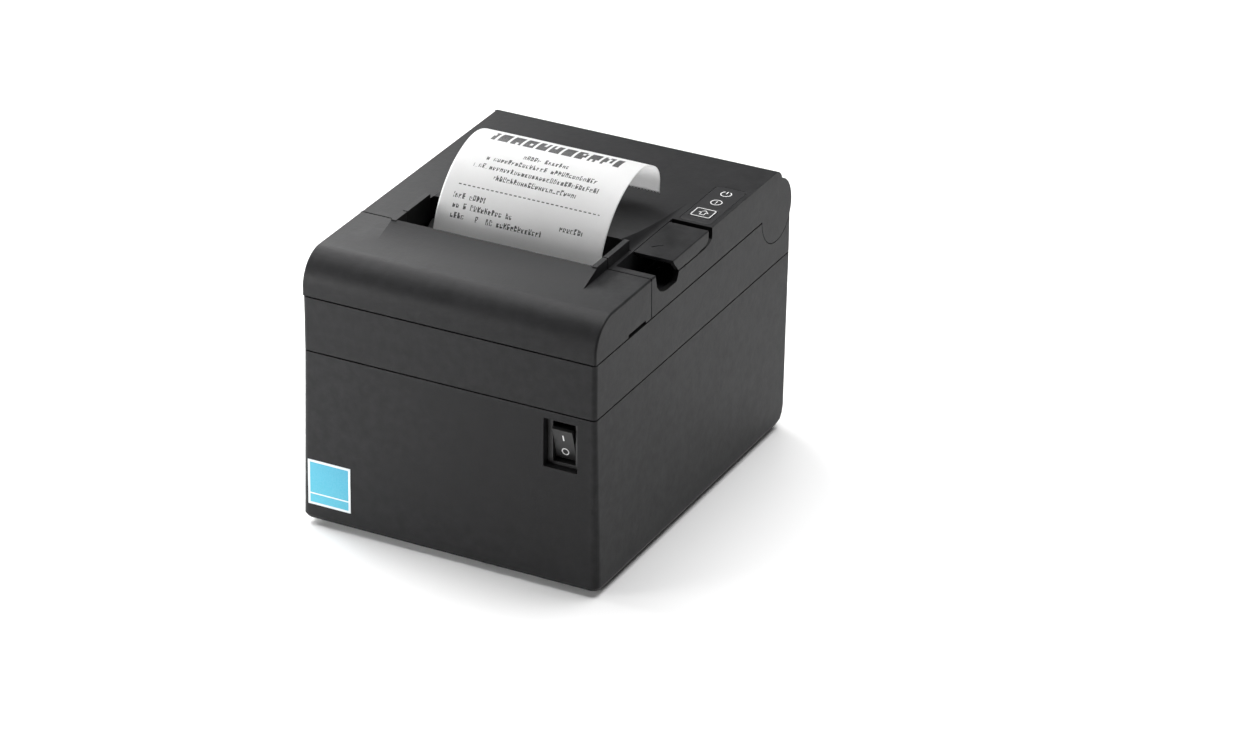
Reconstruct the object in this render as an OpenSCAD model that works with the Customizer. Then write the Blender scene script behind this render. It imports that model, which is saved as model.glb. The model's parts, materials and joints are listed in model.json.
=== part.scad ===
// Desktop thermal receipt printer with a drop-in paper roll, a hinged paper cover,
// an automatic cutter and a top control panel. Millimetres, +Z up, +X to the right
// seen from the front, the front faces -Y. The origin is the bottom centre of the
// box around the printer, on the plane of the rubber feet.

/* [Body] */
// Width of the casing at its seams
body_w = 138; // [134:1:146]
// Length of the casing at its seams
body_l = 182; // [180:1:186]
// Extra width of each side of the lower case at the bottom
side_draft = 1.8; // [0.5:0.1:2.5]
// Extra length of the front at the bottom
front_draft = 1.0; // [0.4:0.1:1.5]
// How far the foot of the rear wall leans in
rear_lean = 5.2; // [3:0.2:7]
// Wall thickness of the mouldings
wall = 2.4; // [2:0.1:3]
// Height of the seam between the lower case and the middle case
seam_low = 82.2; // [81:0.2:84]
// Height of the seam under the front cover and the lid
seam_high = 107.4; // [107:0.1:108]
// Height of the flat top
top_z = 125.7; // [125:0.1:127]
// Width of a visible seam
seam_gap = 0.6; // [0.3:0.1:0.6]
// Height of the rubber feet
foot_h = 2.4; // [2:0.1:3]
// Radius of the rounded front edge of the front cover
front_r = 14.5; // [10:0.5:16]

/* [Paper] */
// Width of the paper
paper_w = 79.5; // [78:0.5:80]
// Outer radius of the paper roll
roll_r = 35; // [20:1:37]
// Radius of the core of the roll
core_r = 9; // [6:0.5:10]
// Modelled thickness of the paper strip
paper_t = 0.2; // [0.1:0.05:0.3]
// Radius of the first, flat curl of the receipt
curl_1 = 42; // [38:1:46]
// Radius of the receipt's crest
curl_2 = 24; // [22:1:26]
// Radius of the receipt's last curl
curl_3 = 10; // [9:1:12]

/* [Opening] */
// Half width of the paper slot
slot_x = 46.2; // [45:0.2:47]
// Thickness of the ribs beside the slot
rib_t = 2.4; // [1.6:0.2:3]
// Height of the ribs
rib_z = 130.6; // [129:0.2:132]
// Place of the tear edge, measured from the centre
tear_y = -50.1; // [-51:0.1:-49]
// Place of the parting line between the front cover and the lid
part_y = -41.3; // [-42:0.1:-41]
// Place of the rear edge of the slot
slot_rear_y = -21.8; // [-23:0.1:-21]

/* [Lid] */
// Distance of the lid's hinge behind the centre
hinge_y = 77.1; // [76:0.1:78]
// Outer radius of the lid's round hinge ears
ear_r = 14.4; // [13:0.1:15]
// Height of the hump behind the slot
hump_h = 4.5; // [3:0.1:5]
// Place where the hump has run out
hump_end_y = 46; // [40:1:50]

/* [Drive] */
// Radius of the platen roller
platen_r = 7.5; // [7:0.1:8]
// Module of the feed gears
gear_m = 0.8; // [0.8:0.1:0.8]
// Teeth of the platen gear
platen_teeth = 20; // [20:1:20]
// Teeth of the idler gear
idler_teeth = 22; // [22:1:22]
// Teeth of the small wheel of the reduction gear
reduction_small = 14; // [14:1:14]
// Teeth of the large wheel of the reduction gear
reduction_large = 36; // [36:1:36]
// Teeth of the feed motor's pinion
pinion_teeth = 12; // [12:1:12]

/* [Hidden] */
$fn = 64;

// Casing colours
charcoal = [0.16, 0.16, 0.17];
charcoal_dark = [0.12, 0.12, 0.125];
steel = [0.62, 0.63, 0.65];

// Main planes of the casing
front_y = -body_l / 2 + 0.5;
rear_y = body_l / 2 + 0.5;
half_w = body_w / 2;
in_x = half_w - wall;
seam_rear = seam_high - 3.9;
hinge_z = seam_high;
side_front_y = part_y + seam_gap / 2;
cover_rear_y = part_y - seam_gap / 2;
low_top = seam_low - seam_gap / 2;
draft = function (z) (low_top - z) / (low_top - foot_h - 2.2);
y_at_front = function (z) front_y - front_draft * draft(z);

// Paper path
platen_y = -25.15;
platen_z = 106;
paper_y = platen_y - platen_r - paper_t / 2 - 0.05;
cut_low_z = 115.35;
cut_high_z = 116.45;
curl_start_z = 108;
bucket_y = 24;
bucket_z = 58;
bucket_r = 42;
roll_z = bucket_z - bucket_r + roll_r + 0.3;
guide_r = 8;
guide_z = 98;

// Head, cutter and frame
head_pivot = [-40.5, 93];
blade_z = 115.5;
blade_t = 0.8;
cutter_shaft_yz = [-56, blade_z - 1.3 - 4];
cutter_gear_m = 0.6;
cutter_gear_teeth = 26;
cutter_pinion_teeth = 10;
cutter_motor_yz = cutter_shaft_yz + 10.8 * [-sin(45), -cos(45)];
plate_in = 46.8;
plate_t = 1.2;
frame_z = 75;

// Gear centres: each is placed from its neighbours' pitch radii
motor_yz = [-59, 90.5];
platen_yz = [platen_y, platen_z];
idler_angle = -95;
idler_yz = platen_yz
    + gear_m * (platen_teeth + idler_teeth) / 2 * [cos(idler_angle), sin(idler_angle)];
reduction_yz = below_of(motor_yz, idler_yz,
    gear_m * (pinion_teeth + reduction_large) / 2,
    gear_m * (idler_teeth + reduction_small) / 2);
gear_x1 = -53;
gear_x2 = -57;
gear_w = 3;

// Lever, latch and control panel
lever_axis = [9.5, 116];
lever_x = [50.5, half_w];
pocket_floor = 110.8;
pocket_rear = 14.3;
panel_x = [52.3, 67];
panel_y = [15.8, 52.5];
button_x = [54.4, 64.3];
button_y = [20.9, 29.5];
light_y = [37.1, 46.4];
light_x = 59.5;
latch_yz = [8.4, 105];

// Power switch and front label
switch_x = [45, 60.8];
switch_z = [56.2, 78.4];
switch_floor_y = front_y + 4;
rocker_yz = [-83.5, 66.6];
rocker_x = [48.3, 57.7];
label_x = [-67.7, -47];
label_z = [10.1, 31.2];

// ------------------------------------------------------------ helper shapes

// Point below the line a-b at distance ra from a and rb from b
function below_of(a, b, ra, rb) =
    let (v = b - a, d = norm(v), u = v / d,
         along = (ra * ra - rb * rb + d * d) / (2 * d),
         off = sqrt(ra * ra - along * along))
    a + along * u + off * [u[1], -u[0]];

// A profile drawn in Y and Z, extruded along X from x0 over len
module along_x(x0, len) {
    translate([x0, 0, 0]) rotate([90, 0, 90]) linear_extrude(len) children();
}

// A round bar along X
module bar_x(x0, len, yz, r) {
    translate([x0, yz[0], yz[1]]) rotate([0, 90, 0]) cylinder(h = len, r = r);
}

// A box from its lowest to its highest corner
module block(low, high) {
    translate(low) cube(high - low);
}

// Everything and its mirror image across the middle plane
module both_sides() {
    children();
    mirror([1, 0, 0]) children();
}

// Rectangle with round corners, exact arcs
module round_rect(low, high, r) {
    translate([low[0] + r, low[1]]) square([high[0] - low[0] - 2 * r, high[1] - low[1]]);
    translate([low[0], low[1] + r]) square([high[0] - low[0], high[1] - low[1] - 2 * r]);
    for (x = [low[0] + r, high[0] - r], y = [low[1] + r, high[1] - r])
        translate([x, y]) circle(r);
}

// Corner points of a rounded rectangle at height z, walked anticlockwise
function ring_at(z, wide, front, rear, r, n = 5) = [
    for (c = [[wide - r, rear - r, 0], [-wide + r, rear - r, 90],
              [-wide + r, front + r, 180], [wide - r, front + r, 270]])
        for (i = [0 : n]) [c[0] + r * cos(c[2] + 90 * i / n), c[1] + r * sin(c[2] + 90 * i / n), z]];

// Closed solid through rings with the same number of points, lowest first
module loft(rings) {
    n = len(rings[0]);
    top = len(rings) - 1;
    polyhedron([for (ring = rings) for (p = ring) p], concat(
        [[for (i = [0 : n - 1]) i], [for (i = [n - 1 : -1 : 0]) top * n + i]],
        [for (k = [0 : top - 1]) for (i = [0 : n - 1])
            [k * n + i, (k + 1) * n + i, k * n + (i + 1) % n]],
        [for (k = [0 : top - 1]) for (i = [0 : n - 1])
            [(k + 1) * n + i, (k + 1) * n + (i + 1) % n, k * n + (i + 1) % n]]));
}

// Involute gear in the plane, phase turns it
function roll_angle(rb, r) = let (a = acos(min(1, rb / r))) tan(a) * 180 / PI - a;
module gear_2d(teeth, m, phase = 0) {
    r = m * teeth / 2;
    rb = r * cos(20);
    low = max(rb, r - 1.15 * m);
    radii = [r - 1.2 * m, low, (low + r) / 2, r, r + 0.5 * m, r + 0.92 * m];
    half = 90 / teeth - 0.045 * 180 / PI / r;
    flank = [for (q = radii) half + roll_angle(rb, r) - roll_angle(rb, max(q, rb))];
    polygon([for (k = [0 : teeth - 1]) each concat(
        [for (i = [0 : 5]) radii[i] * [cos(phase + k * 360 / teeth - flank[i]),
                                       sin(phase + k * 360 / teeth - flank[i])]],
        [for (i = [5 : -1 : 0]) radii[i] * [cos(phase + k * 360 / teeth + flank[i]),
                                            sin(phase + k * 360 / teeth + flank[i])]])]);
}

// Phase of gear b that puts its gaps on the teeth of gear a
function mesh_phase(a, b, teeth_a, teeth_b, phase_a) =
    let (v = b - a, angle = atan2(v[1], v[0]))
    angle + 180 + (0.5 - (phase_a - angle) * teeth_a / 360) * 360 / teeth_b;

// Gear along X with a round bore
module gear_x(x0, len, yz, teeth, m, phase, bore) {
    along_x(x0, len) translate(yz) difference() {
        gear_2d(teeth, m, phase);
        circle(bore);
    }
}

// Coil spring along Z as one swept tube, closed at its ends
module coil(r, wire, height, turns) {
    sides = 6;
    steps = turns * 12;
    ring = [for (i = [0 : steps]) for (j = [0 : sides - 1])
        let (a = i * 30, b = j * 360 / sides, q = r + wire * cos(b))
        [q * cos(a), q * sin(a), wire + (height - 2 * wire) * i / steps + wire * sin(b)]];
    walls = [for (i = [0 : steps - 1]) for (j = [0 : sides - 1])
        let (k = (j + 1) % sides)
        [i * sides + j, (i + 1) * sides + j, (i + 1) * sides + k, i * sides + k]];
    ends = [[for (j = [0 : sides - 1]) j],
            [for (j = [sides - 1 : -1 : 0]) steps * sides + j]];
    polyhedron(ring, concat(walls, ends));
}

// Pan head screw, axis Z, head resting on z = 0
module screw(r, len, head_r, head_h) {
    difference() {
        union() {
            translate([0, 0, -len]) cylinder(h = len, r = r);
            cylinder(h = head_h, r = head_r);
        }
        for (turn = [0, 90]) rotate(turn)
            translate([-head_r * 0.6, -0.3, head_h / 2]) cube([head_r * 1.2, 0.6, head_h]);
    }
}

// ------------------------------------------------------------ lower case

post_xy = [for (x = [-20, 20], y = [-62, -50]) [x, y]];
standoff_xy = [for (x = [-54, 54], y = [-38, 62]) [x, y]];
cover_screw_xy = [for (x = [-47, 47], y = [-36, 8, 52]) [x, y]];

// Outline of the case at height z; in_by moves all sides in, up_by the rear one only
function case_ring(z, r, in_by = 0, up_by = 0, n = 5) = ring_at(z,
    half_w + side_draft * draft(z) - in_by, y_at_front(z) + in_by,
    rear_y - rear_lean * draft(z) - in_by - up_by, r, n);

module case_body() {
    loft([case_ring(foot_h, 4, 1.9, 5.6), case_ring(foot_h + 0.7, 3.5, 0.6, 4.4),
          case_ring(foot_h + 2.2, 3, 0, 2.7), case_ring(foot_h + 4.6, 3, 0, 0.9),
          case_ring(foot_h + 8, 3), case_ring(low_top, 2)]);
}

module lower_case() {
    color(charcoal) difference() {
        union() {
            difference() {
                case_body();
                loft([case_ring(foot_h + wall, 2, wall, 3.4, 2),
                      case_ring(foot_h + 8.4, 2, wall, 0, 2),
                      case_ring(low_top + 1, 1.2, wall, 0, 2)]);
            }
            // Well around the power switch
            block([switch_x[0] - 1.6, front_y, switch_z[0] - 1.6],
                  [switch_x[1] + 1.6, switch_floor_y + 1.6, switch_z[1] + 0.8]);
            for (p = post_xy) translate([p[0], p[1], foot_h + 1])
                cylinder(h = frame_z - foot_h - 1, r = 4);
            for (p = standoff_xy) translate([p[0], p[1], foot_h + 1])
                cylinder(h = 5, r = 3.2);
        }
        block([switch_x[0], front_y - 5, switch_z[0]],
              [switch_x[1], switch_floor_y, switch_z[1]]);
        block([switch_x[0] + 1, front_y - 5, switch_z[0] + 0.5],
              [switch_x[1] - 1, switch_floor_y + 5, switch_z[1] - 0.5]);
        for (p = post_xy) translate([p[0], p[1], frame_z - 12]) cylinder(h = 13, r = 1.3);
        for (p = standoff_xy) translate([p[0], p[1], foot_h + 1.6]) cylinder(h = 5, r = 1);
        // Service opening under the cover, its step and its screw holes
        block([-44, -33, 0], [44, 49, 10]);
        block([-50.2, -41.2, 0], [50.2, 57.2, foot_h + 1.2]);
        for (p = cover_screw_xy) translate([p[0], p[1], 0]) cylinder(h = 10, r = 1.1);
        // Sockets' window in the rear wall
        block([-58, rear_y - rear_lean - 6, 9], [34, rear_y + 5, 29]);
        // Cooling slots low in the rear wall
        for (i = [0 : 6]) block([40 + i * 3.6, rear_y - 12, 12], [41.6 + i * 3.6, rear_y, 30]);
    }
}

module bottom_cover() {
    color(charcoal_dark) difference() {
        block([-50, -41, foot_h], [50, 57, foot_h + 1.2]);
        for (p = cover_screw_xy) translate([p[0], p[1], 0]) cylinder(h = 10, r = 1.4);
    }
}

module bottom_screws() {
    color(steel) for (p = cover_screw_xy) translate([p[0], p[1], foot_h])
        mirror([0, 0, 1]) screw(1.1, 2.4, 2.4, 1.1);
}

module rubber_feet() {
    color([0.08, 0.08, 0.08]) for (x = [-63.5, 63.5], y = [-78, 61.5])
        translate([x, y, 0]) rotate_extrude()
            polygon([[0, 0], [4.2, 0], [4.8, 0.7], [5.2, foot_h], [0, foot_h]]);
}

// ------------------------------------------------------------ middle case

module middle_case() {
    low = seam_low + seam_gap / 2;
    high = seam_high - seam_gap / 2;
    color(charcoal) difference() {
        union() {
            translate([0, 0, low]) linear_extrude(high - low) difference() {
                round_rect([-half_w, front_y], [half_w, rear_y], 2);
                round_rect([-in_x, front_y + wall], [in_x, rear_y - wall], 1);
            }
            // Tongue that closes the lower seam from inside, and the step it hangs on
            translate([0, 0, low - 3]) linear_extrude(6) difference() {
                round_rect([-in_x + 0.3, front_y + wall + 0.3],
                           [in_x - 0.3, rear_y - wall - 0.7], 2);
                round_rect([-in_x + 1.5, front_y + wall + 1.5],
                           [in_x - 1.5, rear_y - wall - 2], 1);
            }
            translate([0, 0, low]) linear_extrude(3) difference() {
                round_rect([-in_x - 0.3, front_y + wall - 0.3],
                           [in_x + 0.3, rear_y - wall + 0.3], 1);
                round_rect([-in_x + 1.5, front_y + wall + 1.5],
                           [in_x - 1.5, rear_y - wall - 2], 1);
            }
            // Decks beside the bucket, with an arm to each hinge boss
            both_sides() {
                block([43.1, 12, high - 2.4], [in_x + 0.5, 60, high]);
                block([59.5, side_front_y, high - 2.4], [in_x + 0.5, 12.5, high]);
                difference() {
                    union() {
                        block([54, 55, hinge_z - 5], [61.7, hinge_y, hinge_z + 5]);
                        bar_x(54, 7.7, [hinge_y, hinge_z], 5);
                    }
                    block([50, 50, high], [65, hinge_y - 9, hinge_z + 9]);
                }
            }
        }
        // Room for the lid's ears and its rear skirt
        bar_x(-half_w - 1, half_w - 61.7 + 1, [hinge_y, hinge_z], ear_r + 0.35);
        bar_x(61.7, half_w - 61.7 + 1, [hinge_y, hinge_z], ear_r + 0.35);
        difference() {
            bar_x(-61.8, 123.6, [hinge_y, hinge_z], ear_r + 0.35);
            block([-62, 50, 60], [62, hinge_y + 8.5, 130]);
        }
        block([-half_w - 1, hinge_y, seam_rear], [half_w + 1, rear_y + 5, high + 1]);
        for (s = [-1, 1]) bar_x(s > 0 ? 53 : -62.7, 9.7, [hinge_y, hinge_z], 2.2);
    }
}

module hinge_pins() {
    color(steel) both_sides() bar_x(54.4, 11, [hinge_y, hinge_z], 2.2);
}

// ------------------------------------------------------------ front cover

module cover_profile(inset) {
    intersection() {
        translate([front_y + inset, seam_high + seam_gap / 2 - inset * 2])
            square([cover_rear_y - front_y, top_z - seam_high - seam_gap / 2 + inset]);
        union() {
            translate([front_y + front_r, top_z - front_r]) circle(front_r - inset);
            translate([front_y + front_r, 0]) square([90, top_z - inset]);
            translate([front_y + inset, 0]) square([30, top_z - front_r]);
        }
    }
}

module front_cover() {
    color(charcoal) difference() {
        union() {
            difference() {
                along_x(-half_w, body_w) cover_profile(0);
                along_x(-in_x, 2 * in_x) cover_profile(wall);
            }
            // Raised ramp, the wall behind its tear edge and the two ribs
            along_x(-slot_x - rib_t, 2 * (slot_x + rib_t)) polygon([
                [tear_y - 13.9, top_z - 0.5], [tear_y, 130.4], [tear_y, 119],
                [tear_y - 1.6, 119], [tear_y - 1.6, top_z - wall],
                [tear_y - 13.9, top_z - wall]]);
            both_sides() block([slot_x, tear_y - 1, 119], [slot_x + rib_t, cover_rear_y, rib_z]);
        }
        // Mouth of the slot
        block([-slot_x, tear_y, 110], [slot_x, part_y + 5, 140]);
        // Hollow under the ramp
        along_x(-slot_x + 1, 2 * slot_x - 2) polygon([
            [tear_y - 11, top_z - wall - 1], [tear_y - 11, top_z - wall + 0.3],
            [tear_y - 1.6, 127.6], [tear_y - 1.6, top_z - wall - 1]]);
        // Pry notch at the foot of the right side
        block([60, -61.6, 100], [half_w + 1, -46.2, seam_high + seam_gap / 2 + 1.3]);
    }
}

// ------------------------------------------------------------ lid

hump_z = function (t) top_z + hump_h * pow(1 - t, 2.2);
module hump_shape() {
    intersection() {
        along_x(-60, 120) polygon(concat(
            [[hump_end_y, top_z - 1], [slot_rear_y, top_z - 1]],
            [for (i = [0 : 16]) [slot_rear_y + (hump_end_y - slot_rear_y) * i / 16,
                                 hump_z(i / 16)]]));
        rotate([90, 0, 0]) translate([0, 0, -60]) linear_extrude(120) polygon([
            [-slot_x - rib_t - 1, top_z - 1], [-slot_x - rib_t - 1, top_z],
            [-slot_x - rib_t, top_z + 0.45], [-slot_x - rib_t + 1.2, top_z + 1.6],
            [-slot_x - rib_t + 2.5, top_z + 3.1], [-slot_x - rib_t + 4, top_z + 4.4],
            [-slot_x - rib_t + 6, top_z + 5.2],
            [slot_x + rib_t - 6, top_z + 5.2], [slot_x + rib_t - 4, top_z + 4.4],
            [slot_x + rib_t - 2.5, top_z + 3.1], [slot_x + rib_t - 1.2, top_z + 1.6],
            [slot_x + rib_t, top_z + 0.45],
            [slot_x + rib_t + 1, top_z], [slot_x + rib_t + 1, top_z - 1]]);
    }
}

module lid_profile(inset) {
    difference() {
        union() {
            translate([side_front_y, seam_high + seam_gap / 2 - inset * 3])
                square([hinge_y - side_front_y, top_z - seam_high - seam_gap / 2 + inset * 2]);
            translate([hinge_y - 1.2, top_z - 6]) circle(6 - inset);
            translate([hinge_y - 1.5, seam_high]) square([6.3 - inset, top_z - 6 - seam_high]);
            translate([hinge_y, hinge_z]) circle(ear_r - inset);
        }
        translate([50, seam_high - 40]) square([hinge_y - 50, 40]);
    }
}

// Cut-out of the lid's right wall for the finger well and the lever
well_profile = [[-37.4, 140], [-37.4, 124], [-36.2, 119.6], [-34.2, 117.3], [-31.5, 115.8],
    [-28.4, 115], [-25.6, 114.8], [-18.6, 114.9], [-17.3, 116.6], [-16.4, 118.7],
    [0, 118.6], [8.4, 118.8], [12.4, 119.5], [13.9, 120.6], [pocket_rear, 122],
    [pocket_rear, 140]];

module lid() {
    color(charcoal) difference() {
        union() {
            difference() {
                along_x(-half_w, body_w) lid_profile(0);
                along_x(-in_x, 2 * in_x) lid_profile(wall);
                // Open rear skirt between the ears, below its lip
                block([-half_w - 1, hinge_y, 80], [half_w + 1, rear_y + 5, seam_rear + seam_gap]);
            }
            // Ears complete the circle beside the casing
            both_sides() bar_x(in_x, wall, [hinge_y, hinge_z], ear_r);
            both_sides() bar_x(62, in_x - 62 + 0.1, [hinge_y, hinge_z], 7);
            hump_shape();
            // Ribs beside the slot and the wall behind it
            both_sides() block([slot_x, side_front_y, 119], [slot_x + rib_t, slot_rear_y, rib_z]);
            block([-slot_x - 1, slot_rear_y, 119.6],
                  [slot_x + 1, slot_rear_y + 1.8, top_z]);
            // Pocket of the lever and the finger well
            block([lever_x[0] - 1.9, side_front_y + 0.1, pocket_floor],
                  [half_w - 0.2, pocket_rear + 1.5, top_z - 1]);
            // Fixed lugs of the lever
            for (x = [55, 61]) hull() {
                bar_x(x, 2, lever_axis, 3);
                block([x, lever_axis[0] - 5, pocket_floor + 1],
                      [x + 2, lever_axis[0] + 4, pocket_floor + 1.6]);
            }
        }
        block([-slot_x, part_y - 5, 100], [slot_x, slot_rear_y, 140]);
        pocket_cut();
        bar_x(54, 10, lever_axis, 1.5);
        // Slot for the lever's latch arm
        block([52.2, -8, 105], [54.8, 14, 113]);
        // Recess of the control panel, openings for the button and the lights
        translate([0, 0, top_z - 0.4]) linear_extrude(3)
            round_rect([panel_x[0], panel_y[0]], [panel_x[1], panel_y[1]], 2.4);
        block([button_x[0] - 0.15, button_y[0] - 0.15, top_z - 1.3],
              [button_x[1] + 0.15, button_y[1] + 0.15, top_z + 1]);
        block([button_x[0] + 1, button_y[0] + 1, 119], [button_x[1] - 1, button_y[1] - 1, 130]);
        for (y = light_y) translate([light_x, y, 119]) cylinder(h = 10, r = 1.6);
        for (s = [-1, 1]) bar_x(s > 0 ? 61 : -65.5, 4.5, [hinge_y, hinge_z], 2.26);
    }
}

// Hollow of the lever pocket, with the lever's lugs left standing
module pocket_cut() {
    difference() {
        union() {
            along_x(in_x - 1, 10) polygon(well_profile);
            along_x(lever_x[0] - 0.3, in_x - lever_x[0] + 0.4) polygon([
                [-37.4, 140], [-37.4, 118.5], [-36, 115], [-33, pocket_floor + 1.6],
                [pocket_rear, pocket_floor + 1.6], [pocket_rear, 140]]);
        }
        for (x = [55, 61]) hull() {
            bar_x(x, 2, lever_axis, 3);
            block([x, lever_axis[0] - 5, pocket_floor + 1],
                  [x + 2, lever_axis[0] + 4, pocket_floor + 1.6]);
        }
    }
}

module open_lever() {
    skirt = [[-21.8, top_z], [-21.4, 124.6], [-20, 122.8], [-18.4, 121.2], [-16.8, 119.3],
             [0, 119.2], [8.2, 119.9], [10.2, 120.9], [10.9, 122], [10.9, top_z]];
    color(charcoal) difference() {
        union() {
            along_x(half_w - 2.2, 2.2) polygon(skirt);
            along_x(lever_x[0], half_w - lever_x[0]) polygon([
                [-21.8, top_z], [-21.4, 124.6], [-20.4, 123.3], [10.9, 123.3], [10.9, top_z]]);
            along_x(lever_x[0], 1.8) polygon([[-19.6, 123.4], [-17, 121.2], [9, 121.2],
                                              [9, 123.4]]);
            for (x = [52.6, 63.4]) {
                bar_x(x, 2, lever_axis, 3);
                block([x, lever_axis[0] - 3, lever_axis[1]],
                      [x + 2, lever_axis[0] + 1, 123.4]);
            }
            // Latch arm: runs down in front of the latch pin, its nose under the pin
            along_x(52.6, 2) polygon([
                [lever_axis[0] - 2.9, lever_axis[1]], [lever_axis[0] - 5.4, 112],
                [3.2, 106], [3.2, 101.6], [6.3, 101.6], [6.3, 103.2], [5.4, 104.2],
                [5.4, 106], [lever_axis[0] - 2.2, 112.4], [lever_axis[0], 113.2]]);
        }
        bar_x(50, 20, lever_axis, 1.56);
    }
}

module lever_pin() {
    color(steel) bar_x(52.7, 12.6, lever_axis, 1.5);
}

module lever_spring() {
    color(steel) translate([57.3, lever_axis[0], lever_axis[1]]) rotate([0, 90, 0])
        coil(2.2, 0.3, 3.4, 4);
}

module latch_pin() {
    color(steel) bar_x(plate_in + 0.2, 9, latch_yz, 1.5);
}

// ------------------------------------------------------------ control panel

module control_panel() {
    color(charcoal_dark) difference() {
        translate([0, 0, top_z - 0.4]) linear_extrude(0.4)
            round_rect([panel_x[0] + 0.15, panel_y[0] + 0.15],
                       [panel_x[1] - 0.15, panel_y[1] - 0.15], 2.25);
        block([button_x[0] - 0.15, button_y[0] - 0.15, top_z - 1],
              [button_x[1] + 0.15, button_y[1] + 0.15, top_z + 1]);
    }
}

module feed_button() {
    color(charcoal_dark) {
        block([button_x[0], button_y[0], top_z - 0.6], [button_x[1], button_y[1], top_z + 0.15]);
        block([button_x[0] + 1.3, button_y[0] + 1.3, top_z - 2.4],
              [button_x[1] - 1.3, button_y[1] - 1.3, top_z - 0.5]);
        translate([59.35, 25.2, 120.1]) cylinder(h = top_z - 2.3 - 120.1, r = 1.5);
    }
}

module panel_board() {
    color([0.05, 0.3, 0.15]) block([51.5, 17, 117.4], [66, 55, 118.6]);
    color([0.15, 0.15, 0.15]) {
        block([56.35, 22.2, 118.6], [62.35, 28.2, 119.4]);
        for (y = light_y) block([58.5, y - 0.8, 118.6], [60.5, y + 0.8, 119.3]);
    }
    color(charcoal) for (y = [18, 54]) translate([54.5, y, 118.6])
        cylinder(h = top_z - wall - 118.6, r = 0.9);
}

module light_pipes() {
    color([0.75, 0.85, 0.8]) for (y = light_y) translate([light_x, y, 119.4])
        cylinder(h = top_z - 0.45 - 119.4, r = 1.2);
}

// ------------------------------------------------------------ platen, on the lid

module platen_carrier() {
    color(charcoal_dark) difference() {
        union() {
            both_sides() {
                bar_x(43.2, 2, platen_yz, 6.2);
                along_x(43.2, 2) polygon([
                    [platen_y - 4.6, platen_z + 3], [platen_y - 2, 116.6], [-22, 119.5],
                    [-19.6, 119.5], [-19.6, top_z - wall], [-7, top_z - wall], [-7, 116],
                    [platen_y + 6, platen_z - 1]]);
            }
            difference() {
                block([-43.3, -24, 115.3], [43.3, -12, 119.5]);
                block([-41.5, -22, 117], [41.5, -13.6, 121]);
            }
        }
        bar_x(-50, 100, platen_yz, 4.2);
        for (x = [-30, 30]) translate([x, -18, 110]) cylinder(h = 12, r = 1.1);
    }
}

module platen_roller() {
    color([0.1, 0.1, 0.1]) difference() {
        bar_x(-41.5, 83, platen_yz, platen_r);
        bar_x(-42, 84, platen_yz, 3);
    }
}

module platen_shaft() {
    color(steel) difference() {
        bar_x(-53.8, 103.6, platen_yz, 3);
        for (x = [-53.4, 49.0]) difference() {
            bar_x(x, 0.4, platen_yz, 4);
            bar_x(x, 0.4, platen_yz, 2.5);
        }
    }
}

module platen_gear() {
    color([0.9, 0.9, 0.86])
        gear_x(gear_x1, gear_w, platen_yz, platen_teeth, gear_m, 0, 3);
}

module platen_bushes() {
    color([0.85, 0.85, 0.8]) both_sides() difference() {
        bar_x(42.3, 6.5, platen_yz, 4.2);
        bar_x(42, 8, platen_yz, 3.06);
    }
}

module fixed_blade() {
    color([0.8, 0.8, 0.82]) difference() {
        block([-43, -31.8, 114.3], [43, -14, 115.3]);
        for (x = [-30, 30]) translate([x, -18, 110]) cylinder(h = 12, r = 1.4);
    }
}

module blade_screws() {
    color(steel) for (x = [-30, 30]) translate([x, -18, 114.3])
        mirror([0, 0, 1]) screw(1.1, 5, 2.2, 1);
}

// ------------------------------------------------------------ frame and drive

module plate_2d(front, rear) {
    difference() {
        polygon([[front, 92], [front, 111], [-45, 111], [-38, 109.5], [rear - 2, 109.5],
                 [rear, 107.5], [rear, 91], [-46, frame_z], [-66, frame_z], [-66, 82]]);
        translate([platen_y, platen_z]) circle(4.5);
        translate([platen_y - 4.5, platen_z]) square([9, 20]);
    }
}

module mechanism_frame() {
    color(steel) difference() {
        union() {
            along_x(-plate_in - plate_t, plate_t) plate_2d(-76, -12);
            along_x(plate_in, plate_t) plate_2d(-72, 11.4);
            block([-plate_in - plate_t, -66, frame_z], [plate_in + plate_t, -46, frame_z + plate_t]);
            // Tie bar that backs the head springs
            block([-plate_in - plate_t, -47.6, 98], [plate_in + plate_t, -46.4, 108.3]);
        }
        for (p = post_xy) translate([p[0], p[1], 60]) cylinder(h = 30, r = 1.6);
        bar_x(-60, 14, motor_yz, 5.02);
        bar_x(-60, 120, head_pivot, 1.5);
        bar_x(-60, 120, cutter_shaft_yz, 2.05);
        bar_x(40, 20, cutter_motor_yz, 1.3);
        bar_x(40, 20, latch_yz, 1.5);
        bar_x(-60, 14, reduction_yz, 2);
        bar_x(-60, 14, idler_yz, 2);
        // The feed motor's can passes the tie bar and the floor
        bar_x(-plate_in, 24, motor_yz, 14.3);
    }
}

module frame_screws() {
    color(steel) for (p = post_xy) translate([p[0], p[1], frame_z + plate_t])
        screw(1.3, 9, 2.6, 1.6);
}

module feed_motor() {
    color([0.55, 0.56, 0.58]) difference() {
        union() {
            bar_x(-plate_in + 0.05, 22, motor_yz, 14);
            bar_x(-plate_in - plate_t + 0.05, plate_t, motor_yz, 5);
        }
        for (x = [-plate_in + 7, -plate_in + 14]) difference() {
            bar_x(x, 0.6, motor_yz, 15);
            bar_x(x, 0.6, motor_yz, 13.7);
        }
        bar_x(-60, 27.5, motor_yz, 1.55);
    }
}

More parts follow.
